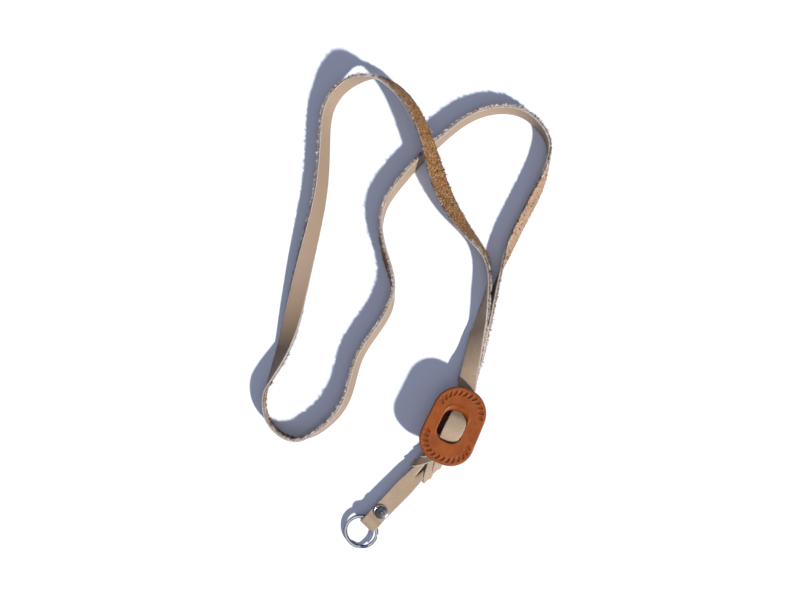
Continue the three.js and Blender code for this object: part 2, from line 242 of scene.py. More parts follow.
def follow(table: Table, column: int, ways: Floats) -> Floats:
    """Steady curve through one column of a table, over its first column."""
    rows = np.array(table)
    return steady_curve(rows[:, 0], rows[:, column], ways)


def unit(vectors: Floats) -> Floats:
    """Vectors scaled to length one along the last axis."""
    return vectors / np.linalg.norm(vectors, axis=-1, keepdims=True)


def running_length(points: Floats) -> Floats:
    """Length of the way along a line of points, as a running total from nil."""
    return np.concatenate([[0.0], np.cumsum(np.linalg.norm(np.diff(points, axis=0), axis=1))])


def headings(points: Floats) -> Floats:
    """Direction of a line of points at each of them, from its two neighbours."""
    padded = np.concatenate([points[:1], points, points[-1:]])
    return unit(padded[2:] - padded[:-2])


def sides(points: Floats) -> tuple[Floats, Floats]:
    """Sides of a line of points: left is up crossed with the way along, and upward is the way along
    crossed with left.

    Args:
        points: Points of the line.

    Returns:
        Level left and upward normal at each point.
    """
    along = headings(points)
    left = unit(np.cross(UP, along))
    return left, np.cross(along, left)


def smooth(low: float, high: float, value: Floats) -> Floats:
    """Smooth step from 0 at low to 1 at high: 3t squared minus 2t cubed."""
    t = np.clip((value - low) / (high - low), 0.0, 1.0)
    return t * t * (3 - 2 * t)


def bump(off: Floats, wide: float) -> Floats:
    """Bell from 1 in the middle to 0 well outside: e to the minus square of off / wide."""
    return np.exp(-((off / wide) ** 2))


def wobble(ways: Floats, seed: int, lengths: tuple[float, ...]) -> Floats:
    """Slow wave between about -1 and 1: the mean of sines of the lengths, with seeded phases.

    Args:
        ways: Places to work out.
        seed: Seed of the phases.
        lengths: Length of each sine.

    Returns:
        The wave's value at each place.
    """
    phases = np.random.default_rng(seed).uniform(0, 2 * np.pi, len(lengths))
    waves = [np.sin(2 * np.pi * ways / length + p) for length, p in zip(lengths, phases)]
    return np.mean(waves, axis=0)


@dataclass(frozen=True)
class Route:
    """A strip's line: middle points, way along, grain's normal, way across and running length."""

    middle: Floats
    along: Floats
    normal: Floats
    across: Floats
    ways: Floats

    @classmethod
    def leaning(cls, middle: Floats, lean: Floats) -> "Route":
        """Route whose grain leans: the normal is cos(lean) times left plus sin(lean) times up.

        Args:
            middle: Points of the middle line.
            lean: Lean at each point, in degrees.

        Returns:
            The route.
        """
        left, up = sides(middle)
        angle = np.radians(lean)[:, None]
        return cls.facing(middle, np.cos(angle) * left + np.sin(angle) * up)

    @classmethod
    def facing(cls, middle: Floats, normal: Floats) -> "Route":
        """Route with given normals, made square to the way along.

        Args:
            middle: Points of the middle line.
            normal: Rough normal at each point.

        Returns:
            The route.
        """
        along = headings(middle)
        square = unit(normal - along * np.sum(normal * along, axis=1, keepdims=True))
        return cls(middle, along, square, np.cross(along, square), running_length(middle))

    def at(self, ways: Floats) -> "Route":
        """The same route at other places along it, by straight interpolation.

        Args:
            ways: Running lengths of the places.

        Returns:
            The route at those places.
        """
        rows = [
            np.stack([np.interp(ways, self.ways, part[:, k]) for k in range(3)], axis=1)
            for part in (self.middle, self.along, self.normal, self.across)
        ]
        return Route(rows[0], unit(rows[1]), unit(rows[2]), unit(rows[3]), ways)


@dataclass(frozen=True)
class Section:
    """Outline of a strip: places across and through it, and the side that follows each place."""

    across: Floats
    through: Floats
    side: Ints

    @classmethod
    def of_strip(
        cls, width: float, thick: float, rounds: Pair, steps: tuple[int, int], scale: float = MM
    ) -> "Section":
        """Rectangle with rounded corners, once round from the grain's right end.

        Args:
            width: Width of the strip.
            thick: Thickness of the strip.
            rounds: Corner radius on the grain side and on the flesh side.
            steps: Stretches across the grain and across the flesh.
            scale: Size of one unit of the lengths above in the outline.

        Returns:
            The outline.
        """
        grain, flesh = rounds[0] * scale, rounds[1] * scale
        a, b = width * scale / 2, thick * scale / 2
        quarter = np.radians(np.linspace(0, 90, CORNER_STEPS + 1))[:-1]
        arcs = [
            (x + r * np.cos(quarter + math.radians(start)),
             z + r * np.sin(quarter + math.radians(start)), Side.EDGE)
            for x, z, r, start in (
                (-a + grain, b - grain, grain, 90), (-a + flesh, -b + flesh, flesh, 180),
                (a - flesh, -b + flesh, flesh, 270), (a - grain, b - grain, grain, 0),
            )
        ]
        top = np.linspace(a - grain, -a + grain, steps[0] + 1)[:-1]
        base = np.linspace(-a + flesh, a - flesh, steps[1] + 1)[:-1]
        waist = (flesh - grain) / 2
        parts = [
            (top, np.full_like(top, b), Side.GRAIN),
            arcs[0],
            (np.array([-a, -a]), np.array([b - grain, waist]), Side.EDGE),
            arcs[1],
            (base, np.full_like(base, -b), Side.FLESH),
            arcs[2],
            (np.array([a, a]), np.array([flesh - b, waist]), Side.EDGE),
            arcs[3],
        ]
        sides = [np.full(len(part[0]), int(part[2])) for part in parts]
        across, through = (np.concatenate([part[k] for part in parts]) for k in (0, 1))
        return cls(across, through, np.concatenate(sides))

    def halves(self) -> tuple[Ints, Ints]:
        """The outline in two halves from one edge's middle to the other's.

        Returns:
            Numbers of the points over the grain, and of the flesh's points under them.
        """
        size = len(self.side)
        left, right = size // 2 - CORNER_STEPS - 1, size - CORNER_STEPS - 1
        return np.arange(right - size, left + 1) % size, np.arange(right, left - 1, -1)


# Meshes


def add_object(name: str, data: bpy.types.ID) -> bpy.types.Object:
    """Put a new object into the scene, at the origin.

    Args:
        name: Name of the object.
        data: Its mesh, light or camera.

    Returns:
        The object.
    """
    made = bpy.data.objects.new(name, data)
    bpy.context.scene.collection.objects.link(made)
    return made


def grid_faces(
    rows: int, columns: int, round_rows: bool = False, round_columns: bool = False
) -> Ints:
    """Four-cornered faces of a grid of points, row after row.

    Args:
        rows: Rows of points.
        columns: Points in a row.
        round_rows: Whether the last row joins the first.
        round_columns: Whether the last column joins the first.

    Returns:
        Point numbers, four to a face.
    """
    index = np.arange(rows * columns).reshape(rows, columns)
    if round_rows:
        index = np.vstack([index, index[:1]])
    if round_columns:
        index = np.hstack([index, index[:, :1]])
    corners = [index[:-1, :-1], index[:-1, 1:], index[1:, 1:], index[1:, :-1]]
    return np.stack(corners, axis=-1).reshape(-1, 4)


def fan(centre: int, loop: Ints) -> Ints:
    """Triangles from a centre to each stretch of a closed loop of points."""
    return np.stack([np.full(len(loop), centre), loop, np.roll(loop, -1)], axis=1)


@dataclass
class Shell:
    """A closed mesh in the making: points, faces, the finish of each and extra values."""

    points: Floats
    quads: Ints
    quad_finish: Ints | int = 0
    triangles: Ints = field(default_factory=lambda: np.zeros((0, 3), int))
    triangle_finish: Ints | int = 0
    values: dict[str, Floats] = field(default_factory=dict)
    quad_map: Floats | None = None

    def __post_init__(self) -> None:
        """Spread a single finish over all faces."""
        self.quad_finish = np.broadcast_to(self.quad_finish, len(self.quads))
        self.triangle_finish = np.broadcast_to(self.triangle_finish, len(self.triangles))

    @classmethod
    def tube(
        cls, rings: Floats, side: Ints | int = 0, ends: int = 0, spread: Floats | None = None,
        halves: tuple[Ints, Ints] | None = None,
    ) -> "Shell":
        """Closed skin over rings of points, with a fan over each end, or faces from half to half
        over the first.

        Args:
            rings: Points as rings along, points round, three.
            side: Finish of each stretch round a ring, or of all.
            ends: Finish of both ends.
            spread: Flat places (along, round) of the points, first column repeated, or none.
            halves: Upper and lower points of the first ring, in pairs, where it isn't flat.

        Returns:
            The shell.
        """
        count, size = rings.shape[:2]
        loop = np.arange(size)
        total = count * size
        quads = grid_faces(count, size, round_columns=True)
        quad_map = None if spread is None else spread.reshape(-1, 2)[grid_faces(count, size + 1)]
        finish = np.tile(np.broadcast_to(side, size), count - 1)
        points = np.vstack([rings.reshape(-1, 3), rings[-1].mean(axis=0)])
        triangles = fan(total, loop[::-1] + (count - 1) * size)
        if halves is None:
            points = np.vstack([points, rings[0].mean(axis=0)])
            triangles = np.vstack([fan(total + 1, loop), triangles])
        else:
            upper, lower = halves
            cap = np.stack([upper[1:-2], upper[2:-1], lower[2:-1], lower[1:-2]], axis=1)
            quads = np.vstack([quads, cap])
            finish = np.append(finish, np.full(len(cap), ends))
            if quad_map is not None:
                quad_map = np.vstack([quad_map, np.zeros((len(cap), 4, 2))])
            corners = [[upper[0], upper[1], lower[1]], [upper[-2], upper[-1], lower[-2]]]
            triangles = np.vstack([corners, triangles])
        return cls(points, quads, finish, triangles, ends, quad_map=quad_map)

    def join(self, other: "Shell") -> "Shell":
        """This shell and another as one mesh, both without a map.

        Args:
            other: A shell with the same extra values.

        Returns:
            The joined shell.
        """
        moved = len(self.points)
        return Shell(
            np.vstack([self.points, other.points]),
            np.vstack([self.quads, other.quads + moved]),
            np.concatenate([self.quad_finish, other.quad_finish]),
            np.vstack([self.triangles, other.triangles + moved]),
            np.concatenate([self.triangle_finish, other.triangle_finish]),
            {key: np.concatenate([own, other.values[key]]) for key, own in self.values.items()},
        )

    def outward(self) -> "Shell":
        """Turn the faces out, by the sign of the sum of a . (b x c) over their triangles.

        Returns:
            The shell itself.
        """
        halves = self.quads[:, [0, 1, 2]], self.quads[:, [0, 2, 3]]
        corners = np.vstack([*halves, self.triangles])
        a, b, c = (self.points[corners[:, k]] for k in range(3))
        if np.sum(a * np.cross(b, c)) < 0:
            self.quads = self.quads[:, ::-1]
            self.triangles = self.triangles[:, ::-1]
            if self.quad_map is not None:
                self.quad_map = self.quad_map[:, ::-1]
        return self

    def piece(self, name: str, finishes: list[bpy.types.Material]) -> bpy.types.Object:
        """The shell as a smooth object at the origin.

        Args:
            name: Name of the object.
            finishes: Materials in the order of the faces' finish numbers.

        Returns:
            The object, linked to the scene.
        """
        mesh = bpy.data.meshes.new(name)
        faces = self.quads.tolist() + self.triangles.tolist()
        mesh.from_pydata(self.points.tolist(), [], faces)
        for finish in finishes:
            mesh.materials.append(finish)
        numbers = np.concatenate([self.quad_finish, self.triangle_finish]).astype(np.int32)
        mesh.polygons.foreach_set("material_index", numbers)
        mesh.polygons.foreach_set("use_smooth", np.ones(len(numbers), bool))
        for key, values in self.values.items():
            attribute = mesh.attributes.new(key, "FLOAT", "POINT")
            attribute.data.foreach_set("value", values.astype(np.float32))
        if self.quad_map is not None:
            flat = np.zeros((len(self.triangles) * 3, 2))
            places = np.vstack([self.quad_map.reshape(-1, 2), flat]).astype(np.float32)
            mesh.uv_layers.new(name="strip").data.foreach_set("uv", places.ravel())
        mesh.update()
        return add_object(name, mesh)


def sweep(route: Route, section: Section, wide: Floats | float = 1.0) -> Floats:
    """Rings of points of a section carried along a route: middle + across * a + normal * b.

    Args:
        route: Line to follow.
        section: Outline to carry.
        wide: Share of the section's width, the same all along or at each point.

    Returns:
        Points as rings along, points round, three.
    """
    share = np.broadcast_to(wide, len(route.middle))
    sideways = route.across[:, None, :] * (share[:, None] * section.across)[:, :, None]
    upwards = route.normal[:, None, :] * section.through[None, :, None]
    return route.middle[:, None, :] + sideways + upwards


def strip_map(route: Route, section: Section) -> Floats:
    """Flat map of a swept section: running length along by running length round.

    Args:
        route: Line that is followed.
        section: Outline that is carried.

    Returns:
        Places in metres, as along, round with the first column repeated, two.
    """
    outline = np.stack([section.across, section.through], axis=1)
    around = running_length(np.vstack([outline, outline[:1]]))
    return np.stack(np.meshgrid(route.ways, around, indexing="ij"), axis=-1)


# Finishes

# Sockets of the mixing node that belong to colours: share, first and second, and what comes out.
MIX_SOCKETS = (0, 6, 7)
MIX_RESULT = 2


class Shader:
    """A material's nodes, added and joined in short calls."""

    def __init__(self, name: str) -> None:
        """Start a material with one principled surface.

        Args:
            name: Name of the material.
        """
        self.material = bpy.data.materials.new(name)
        self.material.use_nodes = True
        self.tree = self.material.node_tree
        self.surface = self.tree.nodes["Principled BSDF"]

    def put(
        self, kind: str, sockets: dict[str | int, object], **settings: object
    ) -> bpy.types.ShaderNode:
        """Add a node.

        Args:
            kind: The node's kind, without the first part of its name.
            sockets: Values of its inputs, or outputs of other nodes to join to them.
            settings: Its own properties.

        Returns:
            The node.
        """
        node = self.tree.nodes.new("ShaderNode" + kind)
        for key, value in settings.items():
            setattr(node, key, value)
        for key, value in sockets.items():
            self.feed(node.inputs[key], value)
        return node

    def feed(self, socket: Socket, value: object) -> None:
        """Join an output to an input, or set the input's own value, a colour with full cover.

        Args:
            socket: The input.
            value: The output to join, or the value to set.
        """
        if isinstance(value, Socket):
            self.tree.links.new(value, socket)
        else:
            socket.default_value = (*value, 1.0) if socket.type == "RGBA" else value

    def place(self) -> Socket:
        """The piece's own coordinates, in metres."""
        return self.put("TexCoord", {}).outputs["Object"]

    def strip(self, along: float, across: float) -> Socket:
        """The strip's flat coordinates, stretched.

        Args:
            along: Times that they are stretched along the strip.
            across: Times that they are stretched round it.

        Returns:
            The coordinates.
        """
        flat = self.put("UVMap", {}, uv_map="strip").outputs["UV"]
        stretched = self.put("Mapping", {"Vector": flat, "Scale": (along, across, 1.0)})
        return stretched.outputs["Vector"]

    def noise(self, where: Socket, cloud: Cloud) -> Socket:
        """Cloudy noise from 0 to 1, by its clouds to a metre, their detail and their roughness."""
        sockets = dict(zip(("Scale", "Detail", "Roughness"), cloud))
        return self.put("TexNoise", {"Vector": where, **sockets}).outputs["Fac"]

    def pits(self, where: Socket, scale: float) -> Socket:
        """Distance to the nearest of scattered points, for pores."""
        return self.put("TexVoronoi", {"Vector": where, "Scale": scale}).outputs["Distance"]

    def ramp(self, value: Socket, stops: tuple[float, ...], *colours: Colour) -> Socket:
        """Colours that follow a value from 0 to 1.

        Args:
            value: The value.
            stops: Rising places of the colours.
            colours: A colour for each stop.

        Returns:
            The colour.
        """
        node = self.put("ValToRGB", {"Fac": value})
        elements = node.color_ramp.elements
        for stop in stops[1:-1]:
            elements.new(stop)
        for element, stop, colour in zip(elements, stops, colours):
            element.position = stop
            element.color = (*colour, 1.0)
        return node.outputs["Color"]

    def mix(self, share: object, first: object, second: object, way: str = "MIX") -> Socket:
        """One colour over another by a share, in one of the mixing ways."""
        sockets = dict(zip(MIX_SOCKETS, (share, first, second)))
        return self.put("Mix", sockets, data_type="RGBA", blend_type=way).outputs[MIX_RESULT]

    def times(self, first: Socket, second: Socket) -> Socket:
        """One colour darkened by another."""
        return self.mix(1.0, first, second, "MULTIPLY")

    def span(self, value: Socket, low: float, high: float) -> Socket:
        """A value from 0 to 1 spread from low to high."""
        sockets = {"Value": value, "To Min": low, "To Max": high}
        return self.put("MapRange", sockets).outputs["Result"]

    def trait(self, name: str) -> Socket:
        """One of the piece's extra values."""
        return self.put("Attribute", {}, attribute_name=name).outputs["Fac"]

    def relief(self, *layers: tuple[Socket, float]) -> None:
        """Put bumps on the surface, one layer over the other.

        Args:
            layers: Heights from 0 to 1, each with its real depth in metres.
        """
        under = {}
        for height, depth in layers:
            sockets = {"Height": height, "Distance": depth, "Strength": 1.0, **under}
            under = {"Normal": self.put("Bump", sockets).outputs["Normal"]}
        self.dress(under)

    def dress(self, sockets: dict[str, object]) -> bpy.types.Material:
        """Set or join the surface's inputs.

        Args:
            sockets: Values of the inputs, or outputs of nodes to join to them.

        Returns:
            The material.
        """
        for key, value in sockets.items():
            self.feed(self.surface.inputs[key], value)
        return self.material


@dataclass(frozen=True)
class HideFinish:
    """Smooth side of leather: clouds between two tones, fine grain and pores, and a darker colour
    over them by an extra value of the piece."""

    name: str
    light: Colour
    deep: Colour
    over: Colour
    trait: str
    clouds: Cloud
    cloud_stops: Pair
    grain: Cloud
    grain_stops: Pair
    shade: Colour
    pores: float
    pore_deep: float
    roughness: Pair
    specular: float
    grain_deep: float = 0.00006

    def build(self) -> bpy.types.Material:
        """Mix the finish.

        Returns:
            The material.
        """
        shader = Shader(self.name)
        where = shader.place()
        clouds = shader.noise(where, self.clouds)
        base = shader.ramp(clouds, self.cloud_stops, self.deep, self.light)
        grain = shader.noise(where, self.grain)
        fine = shader.ramp(grain, self.grain_stops, self.shade, WHITE)
        shader.relief((shader.pits(where, self.pores), self.pore_deep), (grain, self.grain_deep))
        hide = shader.times(base, fine)
        return shader.dress({
            "Base Color": shader.mix(shader.trait(self.trait), hide, self.over),
            "Roughness": shader.span(grain, *self.roughness),
            "Specular IOR Level": self.specular,
        })


@dataclass(frozen=True)
class FleshFinish:
    """Rough side of leather: golden to dark brown grains of nap over a warm ground, with painted
    light: paler where a piece marks it."""

    name: str
    dark: Colour
    middle: Colour
    light: Colour
    painted_light: Colour = (0.5, 0.345, 0.235)
    grains: Cloud = (1400.0, 4.0, 0.65)
    grain_stops: Triple = (0.4, 0.49, 0.58)
    grain_deep: float = 0.0006
    fuzz: Cloud = (3360.0, 2.0, 0.55)
    fuzz_deep: float = 0.0002
    clouds: Cloud = (90.0, 3.0, 0.55)
    cloud_stops: Pair = (0.3, 0.7)
    shade: Colour = (0.82, 0.8, 0.78)
    sheen_tint: Colour = (1.0, 0.74, 0.5)

    def build(self) -> bpy.types.Material:
        """Mix the finish.

        Returns:
            The material.
        """
        shader = Shader(self.name)
        where = shader.place()
        grains = shader.noise(where, self.grains)
        base = shader.ramp(grains, self.grain_stops, self.dark, self.middle, self.light)
        clouds = shader.noise(where, self.clouds)
        shades = shader.ramp(clouds, self.cloud_stops, self.shade, WHITE)
        fuzz = shader.noise(where, self.fuzz)
        shader.relief((grains, self.grain_deep), (fuzz, self.fuzz_deep))
        # Painted light: the pale colour laid over the nap by the piece's share.
        nap = shader.mix(shader.trait("painted_light"), base, self.painted_light)
        return shader.dress({
            "Base Color": shader.times(nap, shades),
            "Roughness": 0.95,
            "Specular IOR Level": 0.15,
            "Sheen Weight": 0.14,
            "Sheen Roughness": 0.3,
            "Sheen Tint": self.sheen_tint,
        })


@dataclass(frozen=True)
class EdgeFinish:
    """Raw cut edge of leather: pale fibres in layers along the strip, or in even clouds where the
    piece has no flat map, speckled brown towards the flesh side."""

    name: str
    pale: Colour
    deep: Colour
    brown: Colour
    mapped: bool = True
    stretch: Pair = (350.0, 3200.0)
    layers: Cloud = (1.0, 4.0, 0.6)
    clouds: Cloud = (1200.0, 4.0, 0.6)
    layer_stops: Pair = (0.35, 0.62)
    specks: Cloud = (1800.0, 3.0, 0.55)
    speck_stops: Pair = (0.34, 0.52)
    speck: Colour = (0.5, 0.43, 0.38)
    tufts: Cloud = (1000.0, 3.0, 0.55)
    tuft_span: Pair = (-0.9, 0.9)
    nap_stops: Pair = (0.5, 0.9)
    bumps: float = 0.00012

    def build(self) -> bpy.types.Material:
        """Mix the finish.

        Returns:
            The material.
        """
        shader = Shader(self.name)
        where = shader.place()
        spread = shader.strip(*self.stretch) if self.mapped else where
        layers = shader.noise(spread, self.layers if self.mapped else self.clouds)
        base = shader.ramp(layers, self.layer_stops, self.deep, self.pale)
        specks = shader.noise(where, self.specks)
        dots = shader.ramp(specks, self.speck_stops, self.speck, WHITE)
        tufts = shader.span(shader.noise(where, self.tufts), *self.tuft_span)
        nap = shader.put("Math", {0: shader.trait("depth"), 1: tufts}, operation="ADD")
        share = shader.ramp(nap.outputs["Value"], self.nap_stops, BLACK, WHITE)
        shader.relief((layers, self.bumps), (specks, self.bumps))
        return shader.dress({
            "Base Color": shader.mix(share, shader.times(base, dots), self.brown),
            "Roughness": 0.9,
            "Specular IOR Level": 0.2,
        })


@dataclass(frozen=True)
class NapFinish:
    """Loose fibres, each with its own tone."""

    name: str
    dark: Colour
    golden: Colour
    pale: Colour
    stops: Triple = (0.05, 0.4, 0.75)

    def build(self) -> bpy.types.Material:
        """Mix the finish.

        Returns:
            The material.
        """
        shader = Shader(self.name)
        tones = shader.ramp(shader.trait("tone"), self.stops, self.dark, self.golden, self.pale)
        return shader.dress({"Base Color": tones, "Roughness": 0.9, "Specular IOR Level": 0.2})


@dataclass(frozen=True)
class MetalFinish:
    """Metal with fine scratches and slight clouding, and a painted dark reflection on the sides
    that a piece marks.
    """

    name: str
    colour: Colour
    tarnish: Colour
    roughness: Pair
    # Colour of the painted dark reflection on the marked sides.
    painted_reflection: Colour = (0.08, 0.08, 0.085)
    clouds: Cloud = (400.0, 4.0, 0.55)
    cloud_stops: Pair = (0.35, 0.65)
    scratches: Cloud = (3500.0, 2.0, 0.55)
    scratch_deep: float = 0.000006

    def build(self) -> bpy.types.Material:
        """Mix the finish.

        Returns:
            The material.
        """
        shader = Shader(self.name)
        where = shader.place()
        clouds = shader.noise(where, self.clouds)
        scratches = shader.noise(where, self.scratches)
        shader.relief((scratches, self.scratch_deep))
        base = shader.ramp(clouds, self.cloud_stops, self.tarnish, self.colour)
        return shader.dress({
            "Base Color": shader.mix(shader.trait("painted_reflection"), base, self.painted_reflection),
            "Metallic": 1.0,
            "Roughness": shader.span(clouds, *self.roughness),
        })


@dataclass(frozen=True)
class PlainFinish:
    """The table's even pale paint, with the faintest tooth."""

    name: str
    colour: Colour
    tooth: Cloud = (600.0, 2.0, 0.55)
    tooth_deep: float = 0.00002

    def build(self) -> bpy.types.Material:
        """Mix the finish.

        Returns:
            The material.
        """
        shader = Shader(self.name)
        shader.relief((shader.noise(shader.place(), self.tooth), self.tooth_deep))
        return shader.dress({
            "Base Color": self.colour,
            "Roughness": 0.9,
            "Specular IOR Level": 0.1,
        })


# On the strip, the tan value that lays the darker colour over the grain is painted shade.
GRAIN = HideFinish(
    "natural_grain", light=(0.41, 0.298, 0.2), deep=(0.35, 0.247, 0.161),
    over=(0.235, 0.162, 0.106), trait="tan", clouds=(55.0, 5.0, 0.55), cloud_stops=(0.32, 0.68),
    grain=(900.0, 3.0, 0.55), grain_stops=(0.3, 0.62),
    shade=(0.88, 0.86, 0.84), pores=2600.0, pore_deep=0.00005, roughness=(0.5, 0.72), specular=0.3,
).build()
CUT_EDGE = EdgeFinish(
    "cut_edge", pale=(0.52, 0.465, 0.42), deep=(0.31, 0.265, 0.23), brown=(0.15, 0.082, 0.045),
).build()
FLESH = FleshFinish(
    "flesh_nap", dark=(0.075, 0.031, 0.011), middle=(0.26, 0.118, 0.042),
    light=(0.45, 0.247, 0.106),
).build()
PLAIN_EDGE = EdgeFinish(
    "plait_edge", pale=(0.44, 0.39, 0.345), deep=(0.31, 0.26, 0.22), brown=(0.3, 0.21, 0.15),
    mapped=False,
).build()
NAP = NapFinish(
    "loose_nap", dark=(0.07, 0.036, 0.018), golden=(0.34, 0.22, 0.135), pale=(0.72, 0.65, 0.59),
).build()
SADDLE = HideFinish(
    "saddle_brown", light=(0.315, 0.075, 0.008), deep=(0.215, 0.046, 0.005),
    over=(0.1, 0.02, 0.004), trait="burnish", clouds=(130.0, 5.0, 0.6), cloud_stops=(0.3, 0.7),
    grain=(1300.0, 4.0, 0.55), grain_stops=(0.3, 0.6),
    shade=(0.84, 0.82, 0.8), pores=1900.0, pore_deep=0.00007, roughness=(0.38, 0.56), specular=0.22,
).build()
DARK_NICKEL = MetalFinish(
    "dark_nickel", colour=(0.13, 0.13, 0.13), tarnish=(0.07, 0.07, 0.07), roughness=(0.42, 0.6),
).build()
BRIGHT_RIM = MetalFinish(
    "bright_rim", colour=(0.6, 0.6, 0.6), tarnish=(0.42, 0.42, 0.42), roughness=(0.15, 0.3),
).build()
STEEL = MetalFinish(
    "polished_steel", colour=(0.7, 0.7, 0.7), tarnish=(0.5, 0.5, 0.51), roughness=(0.08, 0.18),
).build()
FLOOR = PlainFinish("table_white", (0.82, 0.85, 0.92)).build()
LEATHER = [GRAIN, CUT_EDGE, FLESH]
PLAIT_LEATHER = [GRAIN, PLAIN_EDGE, FLESH]


# Pieces


def settle(made: bpy.types.Object, body: Body, slot: Slot, *nodes: str) -> None:
    """Put a piece on its body, and let it stand for solids.

    Args:
        made: The piece.
        body: Body that it rides on.
        slot: Not used.
        nodes: Solids that it replaces.
    """
    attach(made, body.value)
    if nodes:
        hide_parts(*nodes)
    log.info("%s: %d faces, rides on %s", made.name, len(made.data.polygons), body.value)


@dataclass(frozen=True)
class Fringe:
    """Loose fibres on the flesh side, in tufts: bent tapering threads of three sides that lean
    every way, denser along the edges and most of all along the upper one. Tufts of one edge or of
    the face in the same short stretch form a clump with one tone and one share of length. Odds are
    those of a level strip and what a steep one adds. Waist and tip are shares of a fibre's length
    and curl, and the waist's last share is of its thickness."""

    reach: Pair
    seed: int
    count: int = 16000
    tuft: int = 4
    bare_ends: float = 35.0
    tuft_long: float = 0.12
    tuft_wide: float = 0.025
    upper_odds: Pair = (0.5, 0.4)
    edge_odds: Pair = (0.35, 0.45)
    edge_wide: float = 0.2
    edge_beta: Pair = (1.0, 6.0)
    edge_climb: float = 0.6
    sink: float = 0.04
    clump: float = 0.3
    face_size: float = 0.7
    edge_sizes: Pair = (0.5, 1.2)
    fall: float = 0.9
    lean: float = 0.5
    edge_lean: float = 0.5
    curl: float = 0.35
    root: float = 0.14
    roots: Pair = (0.6, 1.3)
    waist: Triple = (0.5, 0.12, 0.7)
    tip: Pair = (0.92, 0.45)
    lowest: float = 0.05
    face_tone: float = 0.55
    edge_tone: Pair = (0.12, 1.1)
    tone_spread: float = 0.1

    def scatter(
        self, draw: np.random.Generator, route: Route
    ) -> tuple[Route, Floats, Floats, Ints]:
        """Roots of the fibres, tuft by tuft. The odds of an edge, and of the upper one, grow with
        the steepness of the strip.

        Args:
            draw: Source of the random numbers.
            route: The strip's line.

        Returns:
            The line at each root, the root's edge (-1 or 1, and 0 on the face), its place from edge
            to edge (-1 to 1), and the number of its clump.
        """
        tufts = self.count // self.tuft
        bare = self.bare_ends * MM
        centres = draw.uniform(bare, route.ways[-1] - bare, tufts)
        ways = np.repeat(centres, self.tuft)
        at = route.at(ways + draw.normal(0, self.tuft_long * MM, self.count))
        rising = route.at(centres).across[:, 2]
        steep = np.abs(rising)
        up = np.where(draw.random(tufts) < self.upper_odds[0] + self.upper_odds[1] * steep, 1, -1)
        edged = draw.random(tufts) < self.edge_odds[0] + self.edge_odds[1] * steep
        edge = np.repeat(np.where(edged, up * np.sign(rising), 0.0), self.tuft)
        spot = np.repeat(draw.uniform(-1, 1, tufts), self.tuft)
        spot = np.clip(spot + draw.normal(0, self.tuft_wide, self.count), -1, 1)
        inward = draw.beta(*self.edge_beta, self.count) * self.edge_wide
        place = np.where(edge == 0, spot, edge * (1 - inward))
        stretch = (ways / (self.clump * MM)).astype(int)
        # Three clumps to a stretch: one edge, the face and the other edge.
        return at, edge, place, stretch * 3 + edge.astype(int) + 1

    def grow(self, route: Route, width: float, thick: float) -> Shell:
        """The fibres as one mesh: each goes from a ring of three points at its root through a
        thinner one at its waist to a tip, and bends by a share of its curl at waist and tip.

        Args:
            route: The strip's line.
            width: Width of the strip.
            thick: Thickness of the strip.

        Returns:
            The fibres.
        """
        draw = np.random.default_rng(self.seed)
        at, edge, place, clump = self.scatter(draw, route)
        climb = np.abs(edge) * draw.uniform(0, self.edge_climb, self.count)
        down = (thick / 2 - self.sink - climb)[:, None] * MM
        start = at.middle + at.across * (place * width * MM / 2)[:, None] - at.normal * down
        tones = draw.random(clump.max() + 1)[clump]
        sizes = draw.uniform(*self.edge_sizes, clump.max() + 1)[clump]
        lean = draw.normal(0, self.lean, (self.count, 2))
        lean[:, 1] += edge * self.edge_lean
        way = unit(-at.normal * self.fall + at.along * lean[:, :1] + at.across * lean[:, 1:])
        curl = draw.normal(0, self.curl, (self.count, 3))
        share = np.where(edge == 0, self.face_size, sizes)
        length = (draw.uniform(*self.reach, self.count) * share)[:, None] * MM
        side = unit(np.cross(way, draw.normal(0, 1, (self.count, 3))))
        turns = np.radians([0, 120, 240])[None, :, None]
        ring = np.cos(turns) * side[:, None] + np.sin(turns) * np.cross(way, side)[:, None]
        ring *= draw.uniform(*self.roots, (self.count, 1, 1)) * self.root * MM
        waist = start + length * (way * self.waist[0] + curl * self.waist[1])
        tip = start + length * (way * self.tip[0] + curl * self.tip[1])
        rings = [start[:, None] + ring, waist[:, None] + ring * self.waist[2], tip[:, None]]
        points = np.concatenate(rings, axis=1)
        points[:, :, 2] = np.maximum(points[:, :, 2], self.lowest * MM)
        size = points.shape[1]
        first = np.arange(self.count)[:, None, None] * size
        quads = first + np.array([[0, 1, 4, 3], [1, 2, 5, 4], [2, 0, 3, 5]])
        triangles = first + np.array([[0, 2, 1], [3, 4, 6], [4, 5, 6], [5, 3, 6]])
        edge_tone = self.edge_tone[0] + self.edge_tone[1] * tones
        tone = np.where(edge == 0, self.face_tone * tones, edge_tone)
        tone = np.clip(tone + draw.normal(0, self.tone_spread, self.count), 0, 1)
        return Shell(
            points.reshape(-1, 3),
            quads.reshape(-1, 4),
            triangles=triangles.reshape(-1, 3),
            values={"tone": np.repeat(tone, size)},
        )


